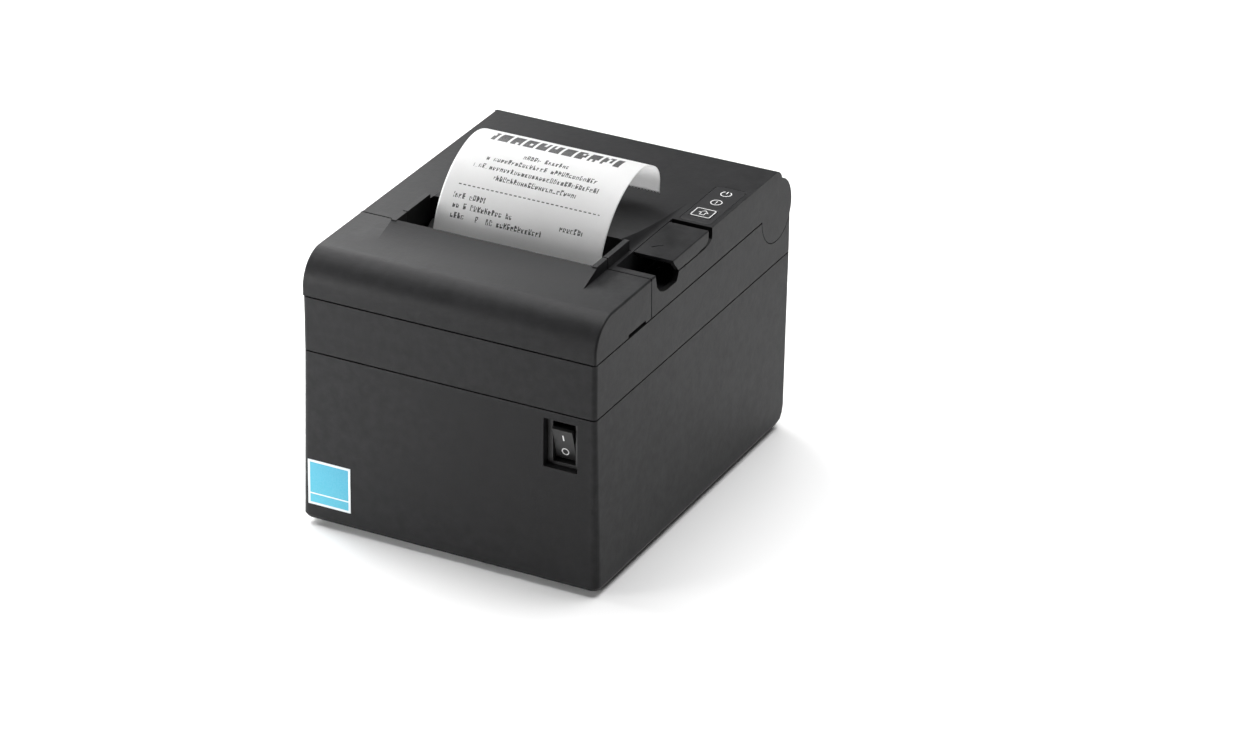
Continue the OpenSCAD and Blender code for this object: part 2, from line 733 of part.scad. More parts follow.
pinion_phase = mesh_phase(reduction_yz, motor_yz, reduction_large, pinion_teeth, 0);
idler_phase = mesh_phase(platen_yz, idler_yz, platen_teeth, idler_teeth, 0);
small_phase = mesh_phase(idler_yz, reduction_yz, idler_teeth, reduction_small, idler_phase);

module motor_pinion() {
    color([0.75, 0.65, 0.35]) {
        gear_x(gear_x2, gear_w, motor_yz, pinion_teeth, gear_m, pinion_phase, 1.4);
        bar_x(gear_x2 - 0.5, 24, motor_yz, 1.5);
    }
}

module reduction_gear() {
    color([0.9, 0.9, 0.86]) difference() {
        union() {
            gear_x(gear_x2, gear_w, reduction_yz, reduction_large, gear_m, 0, 2.05);
            gear_x(gear_x1 - 1, gear_w + 1, reduction_yz, reduction_small, gear_m,
                   small_phase, 2.05);
        }
        for (a = [0 : 60 : 300])
            bar_x(gear_x2 - 1, 3, reduction_yz + 9.4 * [cos(a), sin(a)], 2.4);
    }
}

module idler_gear() {
    color([0.9, 0.9, 0.86])
        gear_x(gear_x1, gear_w, idler_yz, idler_teeth, gear_m, idler_phase, 2.05);
}

module gear_studs() {
    color(steel) {
        bar_x(gear_x2 - 0.8, -plate_in - gear_x2 + 0.8, reduction_yz, 2);
        bar_x(gear_x1 - 0.8, -plate_in - gear_x1 + 0.8, idler_yz, 2);
    }
}

// ------------------------------------------------------------ print head

module print_head_heatsink() {
    color([0.7, 0.71, 0.73]) difference() {
        union() {
            along_x(-41.5, 83) polygon([[-34.1, 93], [-34.1, 112], [-37, 112], [-38.6, 110],
                                        [-38.6, 96], [-39.4, 93]]);
            both_sides() bar_x(36, 5.5, head_pivot, 3);
        }
        bar_x(-42, 84, head_pivot, 1.56);
        for (x = [-20, 20]) translate([x, -39.2, 104]) rotate([-90, 0, 0])
            cylinder(h = 1.4, r = 3.4);
    }
}

module print_head_board() {
    color([0.85, 0.85, 0.8]) block([-41.5, -34.1, 95], [41.5, paper_y - paper_t / 2 - 0.35, 111.5]);
    color([0.35, 0.3, 0.25]) along_x(-40.5, 81) translate([paper_y - paper_t / 2 - 0.35, platen_z])
        scale(0.3) intersection() {
            circle(1);
            translate([0, -1]) square(2);
        }
}

module head_shaft() {
    color(steel) bar_x(-plate_in - plate_t, 2 * (plate_in + plate_t), head_pivot, 1.5);
}

module head_springs() {
    color(steel) for (x = [-20, 20]) translate([x, -46.4, 104]) rotate([-90, 0, 0])
        coil(2.4, 0.35, 8.5, 5);
}

// ------------------------------------------------------------ cutter

module cutter_frame() {
    color(charcoal_dark) difference() {
        union() {
            block([-plate_in - plate_t, -72, 112.3], [plate_in + plate_t, -37, 113.5]);
            both_sides() block([43.3, -72, 111], [plate_in + plate_t, -37, 117.4]);
            block([-47, -72, 116.6], [47, -64, 117.6]);
            block([37.6, -72, 96], [38.8, -57.2, 112.4]);
        }
        both_sides() block([39.8, -66, 111.5], [44, -43, 115.4]);
        both_sides() block([39.8, -72.1, 113.45], [43.4, -37, 115.5]);
        both_sides() block([43, -72.1, 115.3], [43.6, -36, 116.5]);
        bar_x(30, 20, cutter_motor_yz, 2.02);
        bar_x(-60, 120, cutter_shaft_yz, 2.05);
        both_sides() block([44.6, -72.1, 113.6], [46, -36, 116.5]);
    }
}

blade_x = 42.8;
module moving_blade() {
    rack_x = 40.5;
    rack_pitch = PI * gear_m;
    color([0.8, 0.8, 0.82]) {
        translate([0, 0, blade_z]) linear_extrude(blade_t) difference() {
            polygon([[-blade_x, -35.5], [-blade_x, -69], [blade_x, -69], [blade_x, -35.5],
                     [1.5, -38.5], [1.5, -46], [-1.5, -46], [-1.5, -38.5]]);
            for (x = [-24, 24]) round_rect([x - 9, -60], [x + 9, -50], 2);
        }
        // Two racks under the blade; a gap stands over the pinion's upper tooth
        for (x = [-rack_x - 2.2, rack_x]) along_x(x, 2.2) union() {
            translate([-68.5, blade_z - 0.5]) square([17.5, 0.55]);
            for (k = [-4 : 1]) {
                y = cutter_shaft_yz[0] + (k + 0.5) * rack_pitch;
                polygon([[y - 1.0, blade_z - 0.2], [y - 0.35, blade_z - 1.95],
                         [y + 0.35, blade_z - 1.95], [y + 1.0, blade_z - 0.2]]);
            }
        }
    }
}

module cutter_shaft() {
    color(steel) bar_x(-50, 102.4, cutter_shaft_yz, 2);
    color([0.75, 0.65, 0.35]) for (x = [-42.8, 40.4])
        gear_x(x, 2.4, cutter_shaft_yz, cutter_pinion_teeth, gear_m, 90, 1.9);
}

module cutter_gear() {
    color([0.9, 0.9, 0.86]) gear_x(48.8, 2.6, cutter_shaft_yz, cutter_gear_teeth,
                                   cutter_gear_m, 0, 2);
}

cutter_pinion_phase = mesh_phase(cutter_shaft_yz, cutter_motor_yz, cutter_gear_teeth,
                                 cutter_pinion_teeth, 0);

module cutter_motor() {
    color([0.55, 0.56, 0.58]) difference() {
        union() {
            bar_x(14.5, 23, cutter_motor_yz, 7.8);
            bar_x(12.5, 2.2, cutter_motor_yz, 3);
            bar_x(37.4, 1.2, cutter_motor_yz, 2);
        }
        bar_x(20, 20, cutter_motor_yz, 1.05);
    }
}

module cutter_motor_pinion() {
    color([0.75, 0.65, 0.35]) {
        gear_x(48.8, 2.6, cutter_motor_yz, cutter_pinion_teeth, cutter_gear_m,
               cutter_pinion_phase, 0.9);
        bar_x(20.5, 31.4, cutter_motor_yz, 1);
    }
}

// ------------------------------------------------------------ paper

// Heading of the straight web between the guide and the roll, and its end points
web_span = [bucket_y - (paper_y + guide_r), roll_z - guide_z];
web_heading = atan2(web_span[1], web_span[0]) - asin((roll_r - guide_r) / norm(web_span));
web_side = [sin(web_heading), -cos(web_heading)];
web_top = [paper_y + guide_r, guide_z] + guide_r * web_side;
web_foot = [bucket_y, roll_z] + roll_r * web_side;

// Points of an arc round c with radius r from angle a0 to a1
function arc(c, r, a0, a1, n) =
    [for (i = [0 : n]) let (a = a0 + (a1 - a0) * i / n) c + r * [cos(a), sin(a)]];

// Side view of the receipt: three arcs and a straight end; off moves it sideways
curl_turn_1 = 78;
curl_turn_2 = 45;
curl_turn_3 = 59;
function receipt_side(off) =
    let (c1 = [paper_y + curl_1, curl_start_z],
         cut_angle = 180 - asin((cut_high_z - curl_start_z) / curl_1),
         a1 = 180 - curl_turn_1,
         c2 = c1 + (curl_1 - curl_2) * [cos(a1), sin(a1)],
         a2 = a1 - curl_turn_2,
         c3 = c2 + (curl_2 - curl_3) * [cos(a2), sin(a2)],
         a3 = a2 - curl_turn_3,
         tail = c3 + (curl_3 + off) * [cos(a3), sin(a3)] + 5.5 * [sin(a3), -cos(a3)])
    concat(arc(c1, curl_1 + off, cut_angle, a1, 12), arc(c2, curl_2 + off, a1 - 9, a2, 4),
           arc(c3, curl_3 + off, a2 - 12, a3, 5), [tail]);

function backwards(list) = [for (i = [len(list) - 1 : -1 : 0]) list[i]];

module receipt() {
    h = paper_t / 2;
    color("white") {
        along_x(-paper_w / 2, paper_w)
            polygon(concat(receipt_side(h), backwards(receipt_side(-h))));
        // Tab left by the partial cut
        block([-0.8, paper_y + 0.75 - h, cut_low_z + 0.1],
              [0.8, paper_y + 0.75 + h, cut_high_z + 0.3]);
    }
}

module paper_web() {
    h = paper_t / 2;
    side = function (off) concat(
        [web_foot + off * web_side + 0.3 * web_side, web_top + off * web_side],
        arc([paper_y + guide_r, guide_z], guide_r + off, web_heading - 90, -180, 4),
        arc([paper_y + curl_1, curl_start_z], curl_1 + off, 180,
            180 - asin((cut_low_z - curl_start_z) / curl_1), 3));
    color("white") along_x(-paper_w / 2, paper_w)
        polygon(concat(side(h), backwards(side(-h))));
}

module paper_roll() {
    color("white") difference() {
        bar_x(-paper_w / 2, paper_w, [bucket_y, roll_z], roll_r);
        bar_x(-paper_w, 2 * paper_w, [bucket_y, roll_z], core_r);
    }
}

module roll_core() {
    color([0.7, 0.6, 0.45]) difference() {
        bar_x(-paper_w / 2, paper_w, [bucket_y, roll_z], core_r);
        bar_x(-paper_w, 2 * paper_w, [bucket_y, roll_z], core_r - 2.2);
    }
}

// Bucket outline: round bottom, upright rear wall, front wall beside the web
bucket_front = web_heading - 90;
function bucket_side(r) =
    let (f = [bucket_y, bucket_z] + r * web_side)
    concat([[f[0] + (86 - f[1]) * web_side[1] / -web_side[0], 86]],
           arc([bucket_y, bucket_z], r, bucket_front, 0, 20),
           [[bucket_y + r, 98]]);

module paper_bucket() {
    t = 1.6;
    rim_z = seam_high - seam_gap / 2 - 2.4;
    color(charcoal_dark) difference() {
        union() {
            along_x(-42.9, 85.8) polygon(bucket_side(bucket_r + t));
            both_sides() block([41.3, 14, 90], [42.9, 62, rim_z]);
            both_sides() block([41.3, 14, rim_z - 1.7], [57, 54, rim_z]);
        }
        along_x(-41.3, 82.6) polygon(concat(bucket_side(bucket_r),
            [[bucket_y + bucket_r, 140], [-60, 140]]));
        // Window of the near-end lever
        block([40, bucket_y - 4, roll_z - 30], [45, bucket_y + 6, roll_z - 20]);
        block([-60, -60, 98], [60, 14, 110]);
    }
}

near_end_yz = [bucket_y + 10, roll_z - 25];
module near_end_lever() {
    color([0.85, 0.85, 0.8]) difference() {
        union() {
            translate([46.6, near_end_yz[0], near_end_yz[1] - 4]) cylinder(h = 8, r = 2.2);
            block([44.4, near_end_yz[0] - 12, near_end_yz[1] - 2],
                  [46.2, near_end_yz[0], near_end_yz[1] + 2]);
            block([40.4, near_end_yz[0] - 12, near_end_yz[1] - 2],
                  [46.2, near_end_yz[0] - 9, near_end_yz[1] + 2]);
            block([46, near_end_yz[0] - 1, near_end_yz[1] - 2],
                  [52, near_end_yz[0] + 1, near_end_yz[1] + 2]);
        }
        translate([46.6, near_end_yz[0], near_end_yz[1] - 5]) cylinder(h = 10, r = 1.05);
    }
}

module near_end_bracket() {
    color(steel) translate([46.6, near_end_yz[0], near_end_yz[1] - 8])
        cylinder(h = 16, r = 1);
    color(charcoal_dark) for (z = [near_end_yz[1] - 8, near_end_yz[1] + 4.4])
        difference() {
            block([42.9, near_end_yz[0] - 2.5, z], [49, near_end_yz[0] + 2.5, z + 3.6]);
            translate([46.6, near_end_yz[0], z - 1]) cylinder(h = 6, r = 1);
        }
}

// ------------------------------------------------------------ electronics

board_top = foot_h + 7.6;
module main_board() {
    color([0.05, 0.3, 0.15]) difference() {
        block([-59, -78, board_top - 1.6], [59, 80, board_top]);
        for (p = standoff_xy) translate([p[0], p[1], 0]) cylinder(h = 20, r = 1.1);
        for (p = post_xy) translate([p[0], p[1], 0]) cylinder(h = 20, r = 5);
    }
}

module board_components() {
    z = board_top;
    color([0.1, 0.1, 0.1]) {
        block([-12, -66, z], [8, -46, z + 1.6]);
        block([16, -34, z], [26, -24, z + 1.2]);
        block([-34, -34, z], [-22, -26, z + 1.2]);
        for (i = [0 : 3]) block([-50 + 5 * i, -74, z], [-47 + 5 * i, -70, z + 2]);
    }
    color([0.2, 0.25, 0.45]) for (x = [14, 26]) translate([x, -72, z]) cylinder(h = 14, r = 5);
    color([0.85, 0.85, 0.8]) {
        block([-54, -60, z], [-47, -44, z + 7]);
        block([48, -66, z], [55, -46, z + 7]);
    }
}

io_y = 84.2;
module io_plate() {
    color(steel) difference() {
        block([-57.4, io_y, 9.4], [33.4, io_y + 0.8, 28.6]);
        translate([-46, io_y - 1, board_top + 8]) rotate([-90, 0, 0]) cylinder(h = 3, r = 7.2);
        block([-31.2, io_y - 1, board_top], [-18.8, io_y + 3, board_top + 11]);
        block([-10.2, io_y - 1, board_top], [6.2, io_y + 3, board_top + 13.6]);
        block([13.8, io_y - 1, board_top], [27.2, io_y + 3, board_top + 12.6]);
    }
}

// Socket: a box on the board with its mouth to the rear
module socket(x0, x1, h, mouth_low, mouth_high, depth) {
    difference() {
        block([x0, io_y - 15, board_top], [x1, io_y + 1.2, board_top + h]);
        block([mouth_low[0], io_y - depth, mouth_low[1]],
              [mouth_high[0], io_y + 3, mouth_high[1]]);
    }
}

module power_inlet() {
    color([0.1, 0.1, 0.1]) difference() {
        union() {
            block([-53.5, io_y - 15, board_top], [-38.5, io_y - 0.1, board_top + 15.4]);
            translate([-46, io_y - 2, board_top + 8]) rotate([-90, 0, 0])
                cylinder(h = 3.4, r = 7);
        }
        translate([-46, io_y - 10, board_top + 8]) rotate([-90, 0, 0]) cylinder(h = 20, r = 5.6);
    }
    color([0.8, 0.65, 0.3]) for (a = [90, 210, 330])
        translate([-46 + 3 * cos(a), io_y - 11, board_top + 8 + 3 * sin(a)])
            rotate([-90, 0, 0]) cylinder(h = 7, r = 0.7);
}

module usb_socket() {
    color(steel) socket(-31, -19, 10.8, [-30, board_top + 1], [-20, board_top + 9.6], 11);
    color([0.1, 0.1, 0.1]) block([-27.8, io_y - 11.5, board_top + 3.6],
                                 [-22.2, io_y - 1, board_top + 6.6]);
}

module network_socket() {
    color(steel) socket(-10, 6, 13.4, [-8, board_top + 2.2], [4, board_top + 9.6], 12);
}

module drawer_socket() {
    color([0.1, 0.1, 0.1]) socket(14, 27, 12.4, [15.6, board_top + 2.2],
                                  [25.4, board_top + 9], 12);
}

// ------------------------------------------------------------ power switch, label

module switch_body() {
    color([0.07, 0.07, 0.07]) difference() {
        union() {
            block([switch_x[0] + 0.15, switch_floor_y - 0.9, switch_z[0] + 0.15],
                  [switch_x[1] - 0.15, switch_floor_y, switch_z[1] - 0.15]);
            block([switch_x[0] + 1.2, switch_floor_y - 0.5, switch_z[0] + 0.7],
                  [switch_x[1] - 1.2, -72, switch_z[1] - 0.7]);
        }
        block([rocker_x[0] - 0.5, -95, 57.9], [rocker_x[1] + 0.5, -75, 76.3]);
    }
    color([0.8, 0.65, 0.3]) for (z = [60, 66.6, 73])
        block([52.5, -72.1, z - 0.4], [53.5, -66, z + 0.4]);
}

module power_rocker() {
    color([0.16, 0.16, 0.16]) difference() {
        along_x(rocker_x[0], rocker_x[1] - rocker_x[0]) polygon([
            [-87.2, 66.6], [-89.5, 73.8], [-88.4, 74.6], [-84, 74],
            [-80.2, 69.5], [-79.6, 66.6], [-80, 62], [-84.6, 58.6], [-85.5, 59.2]]);
        bar_x(40, 30, rocker_yz, 1.05);
    }
}

module rocker_pin() {
    color(steel) bar_x(rocker_x[0] - 0.5, rocker_x[1] - rocker_x[0] + 1, rocker_yz, 1);
}

module front_label() {
    t = 0.15;
    color([0.2, 0.65, 0.8]) along_x(label_x[0], label_x[1] - label_x[0]) polygon([
        [y_at_front(label_z[0]) - t, label_z[0]], [y_at_front(label_z[1]) - t, label_z[1]],
        [y_at_front(label_z[1]), label_z[1]], [y_at_front(label_z[0]), label_z[0]]]);
}

// ------------------------------------------------------------ assembly

lower_case();
bottom_cover();
bottom_screws();
rubber_feet();
middle_case();
front_cover();
mechanism_frame();
frame_screws();
feed_motor();
motor_pinion();
reduction_gear();
idler_gear();
gear_studs();
print_head_heatsink();
print_head_board();
head_shaft();
head_springs();
cutter_frame();
moving_blade();
cutter_shaft();
cutter_gear();
cutter_motor();
cutter_motor_pinion();
paper_bucket();
paper_roll();
roll_core();
paper_web();
near_end_lever();
near_end_bracket();
main_board();
board_components();
io_plate();
power_inlet();
usb_socket();
network_socket();
drawer_socket();
switch_body();
power_rocker();
rocker_pin();
front_label();
hinge_pins();
latch_pin();
lid();
platen_carrier();
platen_roller();
platen_shaft();
platen_gear();
platen_bushes();
fixed_blade();
blade_screws();
open_lever();
lever_pin();
lever_spring();
control_panel();
feed_button();
panel_board();
light_pipes();
receipt();
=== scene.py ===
"""Looks of the receipt printer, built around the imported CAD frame. Metres, +Z up, the front faces -Y."""

import json
import math

import bmesh
import bpy
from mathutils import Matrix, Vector


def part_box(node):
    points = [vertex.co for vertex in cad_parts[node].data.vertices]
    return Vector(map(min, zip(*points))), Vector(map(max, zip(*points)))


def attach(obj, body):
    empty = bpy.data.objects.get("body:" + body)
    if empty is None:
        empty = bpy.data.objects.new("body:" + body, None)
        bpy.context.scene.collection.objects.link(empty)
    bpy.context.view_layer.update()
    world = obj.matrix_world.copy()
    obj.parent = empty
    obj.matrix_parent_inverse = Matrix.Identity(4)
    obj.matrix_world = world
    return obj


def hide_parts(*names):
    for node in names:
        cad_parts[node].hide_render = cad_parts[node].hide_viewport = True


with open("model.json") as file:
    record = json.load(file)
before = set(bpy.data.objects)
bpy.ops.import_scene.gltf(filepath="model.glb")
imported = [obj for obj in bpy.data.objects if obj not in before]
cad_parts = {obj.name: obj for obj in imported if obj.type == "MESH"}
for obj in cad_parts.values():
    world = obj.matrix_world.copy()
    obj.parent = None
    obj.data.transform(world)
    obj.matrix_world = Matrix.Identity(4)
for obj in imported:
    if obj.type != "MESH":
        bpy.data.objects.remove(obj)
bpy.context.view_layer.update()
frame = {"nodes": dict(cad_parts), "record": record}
nodes = frame["nodes"]
MM = 0.001

# ---------------------------------------------------------------- camera

camera_place = (0.9019, -1.6836, 1.0314)
camera_target = Vector((-0.00202, 0.0005, 0.0447))

scene = bpy.context.scene
camera_data = bpy.data.cameras.new("camera")
camera_data.sensor_width = 36
camera_data.lens = 143.9
camera_data.shift_x = 0.0624
camera_data.clip_end = 20
camera = bpy.data.objects.new("camera", camera_data)
scene.collection.objects.link(camera)
camera.location = camera_place
camera.rotation_euler = (camera_target - camera.location).to_track_quat("-Z", "Y").to_euler()
scene.camera = camera
scene.view_settings.view_transform = "Standard"

# ---------------------------------------------------------------- material kit


def new_material(name):
    """An empty node material, its node tree and its principled shader."""
    mat = bpy.data.materials.new(name)
    mat.use_nodes = True
    tree = mat.node_tree
    shader = next(n for n in tree.nodes if n.type == "BSDF_PRINCIPLED")
    return mat, tree, shader


def add(tree, kind, links=None, **values):
    """A node with its values set and its inputs linked."""
    node = tree.nodes.new("ShaderNode" + kind)
    for key, value in values.items():
        setattr(node, key, value)
    for key, value in (links or {}).items():
        socket = node.inputs[key]
        if isinstance(value, bpy.types.NodeSocket):
            tree.links.new(value, socket)
        else:
            socket.default_value = value
    return node


def noise(tree, place, scale, detail=3.0, roughness=0.55):
    """Noise with its scale in features per metre."""
    node = add(tree, "TexNoise", {"Vector": place, "Scale": scale, "Detail": detail, "Roughness": roughness})
    return node.outputs["Fac"]


def ranged(tree, value, low, high, start=0.0, end=1.0):
    """value from low..high mapped to start..end."""
    node = add(
        tree, "MapRange",
        {"Value": value, "From Min": low, "From Max": high, "To Min": start, "To Max": end})
    return node.outputs["Result"]


def math_node(tree, op, a, b=0.0, c=0.0):
    node = add(tree, "Math", {0: a, 1: b, 2: c}, operation=op)
    return node.outputs[0]


def mixed(tree, fac, a, b):
    """Colour between a and b."""
    node = add(tree, "Mix", data_type="RGBA")
    for socket, value in ((node.inputs[0], fac), (node.inputs[6], a), (node.inputs[7], b)):
        if isinstance(value, bpy.types.NodeSocket):
            tree.links.new(value, socket)
        else:
            socket.default_value = value
    return node.outputs[2]


def grey(value):
    return (value, value, value, 1)


def surface(
        name, dark, light, rough=(0.45, 0.6), grain=2600, grain_bump=0.12, bump_mm=0.03, patch=55,
        metallic=0.0, wear=0.0, worn=None, coat=0.0, specular=0.5, lines=None):
    """A moulded, painted or ground surface: patches of colour, grain in bump and roughness, worn edges.
    grain and patch are features per metre; lines stretches the grain along an axis."""
    mat, tree, shader = new_material(name)
    place = add(tree, "TexCoord").outputs["Object"]
    grainy = place
    if lines:
        grainy = add(tree, "Mapping", {"Vector": place, "Scale": lines}).outputs["Vector"]
    broad = noise(tree, place, patch, 3)
    fine = noise(tree, grainy, grain, 2, 0.6)
    mid = noise(tree, grainy, grain / 4, 3)
    tone = math_node(tree, "MULTIPLY_ADD", broad, 0.7, math_node(tree, "MULTIPLY", fine, 0.3))
    colour = mixed(tree, ranged(tree, tone, 0.3, 0.7), dark, light)
    if wear:
        geometry = add(tree, "NewGeometry").outputs["Pointiness"]
        edge = ranged(tree, geometry, 0.505, 0.56)
        patchy = ranged(tree, noise(tree, place, 210, 4), 0.35, 0.75)
        worn_here = math_node(tree, "MULTIPLY", math_node(tree, "MULTIPLY", edge, patchy), wear)
        colour = mixed(tree, worn_here, colour, worn or light)
    tree.links.new(colour, shader.inputs["Base Color"])
    uneven = math_node(tree, "MULTIPLY_ADD", mid, 0.5, math_node(tree, "MULTIPLY", broad, 0.5))
    tree.links.new(ranged(tree, uneven, 0.3, 0.7, rough[0], rough[1]), shader.inputs["Roughness"])
    height = math_node(tree, "MULTIPLY_ADD", mid, 0.6, math_node(tree, "MULTIPLY", fine, 0.4))
    bump = add(tree, "Bump", {"Strength": grain_bump, "Distance": bump_mm * MM, "Height": height})
    tree.links.new(bump.outputs["Normal"], shader.inputs["Normal"])
    shader.inputs["Metallic"].default_value = metallic
    shader.inputs["Specular IOR Level"].default_value = specular
    shader.inputs["Coat Weight"].default_value = coat
    return mat


casing = surface(
    "casing_charcoal", (0.0115, 0.0115, 0.0121, 1), (0.0137, 0.0137, 0.0144, 1), rough=(0.42, 0.48),
    grain=1500, grain_bump=0.8, bump_mm=0.09, patch=90, wear=0.3, worn=(0.04, 0.04, 0.042, 1),
    specular=0.16)
inner_black = surface(
    "inner_black", grey(0.014), grey(0.022), rough=(0.4, 0.55), grain=1800, grain_bump=0.25, wear=0.2,
    worn=grey(0.05))
panel_black = surface(
    "panel_film", (0.006, 0.006, 0.007, 1), (0.009, 0.009, 0.01, 1), rough=(0.34, 0.42), grain=3200,
    grain_bump=0.3, bump_mm=0.02)
button_black = surface(
    "button_film", (0.007, 0.007, 0.008, 1), (0.01, 0.01, 0.011, 1), rough=(0.36, 0.45), grain=3200,
    grain_bump=0.3, bump_mm=0.02)
rubber_black = surface(
    "rubber_feet", grey(0.012), grey(0.024), rough=(0.7, 0.85), grain=1500, grain_bump=0.5, bump_mm=0.08)
platen_black = surface(
    "platen_rubber", grey(0.014), grey(0.026), rough=(0.55, 0.7), grain=1200, grain_bump=0.4,
    lines=(0.15, 1, 1))
steel = surface(
    "zinc_steel", grey(0.42), grey(0.6), rough=(0.3, 0.46), grain=900, metallic=1, patch=130,
    grain_bump=0.2, lines=(0.2, 1, 1))
shaft = surface(
    "ground_shaft", grey(0.5), grey(0.66), rough=(0.14, 0.24), grain=2600, metallic=1, lines=(1, 0.1, 0.1))
spring = surface("spring_wire", grey(0.34), grey(0.5), rough=(0.25, 0.35), grain=2000, metallic=1)
blade = surface(
    "ground_blade", grey(0.5), grey(0.68), rough=(0.16, 0.3), grain=1500, metallic=1, lines=(0.1, 1, 1))
motor_can = surface(
    "motor_can", (0.2, 0.2, 0.21, 1), (0.29, 0.29, 0.3, 1), rough=(0.32, 0.45), grain=900, metallic=0.8,
    wear=0.3, worn=grey(0.5))
brass = surface(
    "brass", (0.6, 0.4, 0.14, 1), (0.76, 0.54, 0.22, 1), rough=(0.22, 0.34), grain=1400, metallic=1)
acetal = surface(
    "acetal_gears", (0.62, 0.61, 0.56, 1), (0.76, 0.75, 0.7, 1), rough=(0.38, 0.5), grain=1200, wear=0.3,
    worn=(0.4, 0.38, 0.33, 1))
bush = surface("bush_plastic", (0.5, 0.49, 0.44, 1), (0.64, 0.63, 0.58, 1), rough=(0.4, 0.5), grain=1200)
aluminium = surface(
    "heatsink_aluminium", grey(0.52), grey(0.68), rough=(0.28, 0.42), grain=1300, metallic=1,
    lines=(0.12, 1, 1))
ceramic = surface(
    "head_ceramic", (0.5, 0.47, 0.4, 1), (0.62, 0.6, 0.53, 1), rough=(0.12, 0.25), grain=1300, coat=0.4)
board_green = surface(
    "circuit_board", (0.008, 0.07, 0.028, 1), (0.014, 0.115, 0.045, 1), rough=(0.25, 0.4), grain=1600,
    coat=0.3)
chip_black = surface("chip_black", grey(0.015), grey(0.03), rough=(0.4, 0.55), grain=1800)
tin = surface("socket_tin", grey(0.45), grey(0.62), rough=(0.25, 0.4), grain=1400, metallic=1)
socket_black = surface(
    "socket_plastic", grey(0.012), grey(0.022), rough=(0.35, 0.5), grain=1900, wear=0.2, worn=grey(0.05))
rocker_black = surface(
    "rocker_plastic", grey(0.009), grey(0.013), rough=(0.28, 0.36), grain=2600, grain_bump=0.2)
frosted = surface("light_pipe", (0.4, 0.46, 0.43, 1), (0.5, 0.56, 0.53, 1), rough=(0.3, 0.4), grain=1700)
card = surface(
    "core_card", (0.26, 0.2, 0.13, 1), (0.38, 0.31, 0.21, 1), rough=(0.75, 0.9), grain=900, grain_bump=0.6)
ink_white = surface("print_white", grey(0.6), grey(0.72), rough=(0.45, 0.55), grain=2400)
ink_dark = surface("print_dark", grey(0.001), grey(0.002), rough=(0.85, 0.95), grain=2400, specular=0.05)
# Painted shade: a near-black material for the slot's mouth, the finger well and behind the lever, standing in
# for the shade inside them; these parts are the casing's plastic.
painted_shade_black = surface(
    "painted_shade_black", grey(0.002), grey(0.004), rough=(0.6, 0.75), grain=1500, grain_bump=0.4, specular=0.12)

MATERIAL_OF = {
    "casing": casing,
    "inner_plastic": inner_black,
    "panel": panel_black,
    "feet": rubber_black,
    "screw_steel": steel,
    "sheet_steel": steel,
    "shaft_steel": shaft,
    "spring_steel": spring,
    "blade_steel": blade,
    "motor_can": motor_can,
    "brass": brass,
    "gear_plastic": acetal,
    "heatsink": aluminium,
    "ceramic": ceramic,
    "platen_rubber": platen_black,
    "bush_plastic": bush,
    "core_board": card,
    "circuit_board": board_green,
    "components": chip_black,
    "socket_metal": tin,
    "socket_plastic": socket_black,
    "rocker_plastic": rocker_black,
    "light_plastic": frosted,
}


def roll_paper():
    """Thermal paper on the roll: layers show as rings on its flat sides."""
    mat, tree, shader = new_material("roll_paper")
    place = add(tree, "TexCoord").outputs["Object"]
    low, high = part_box("paper_roll")
    middle = [(a + b) / 2 for a, b in zip(low, high)]
    moved = add(tree, "VectorMath", {0: place, 1: (0, middle[1], middle[2])}, operation="SUBTRACT").outputs[0]
    flat = add(tree, "VectorMath", {0: moved, 1: (0, 1, 1)}, operation="MULTIPLY").outputs[0]
    radius = add(tree, "VectorMath", {0: flat}, operation="LENGTH").outputs["Value"]
    wobble = noise(tree, place, 90, 2)
    rings_per_metre = 9000
    phase = math_node(tree, "MULTIPLY_ADD", radius, rings_per_metre, math_node(tree, "MULTIPLY", wobble, 6))
    ringed = math_node(tree, "SINE", phase)
    colour = mixed(tree, ranged(tree, ringed, -1, 1), (0.74, 0.74, 0.73, 1), (0.84, 0.84, 0.83, 1))
    tree.links.new(colour, shader.inputs["Base Color"])
    bump = add(tree, "Bump", {"Strength": 0.2, "Distance": 0.05 * MM, "Height": ringed})
    tree.links.new(bump.outputs["Normal"], shader.inputs["Normal"])
    tree.links.new(ranged(tree, wobble, 0.3, 0.7, 0.5, 0.62), shader.inputs["Roughness"])
    return mat


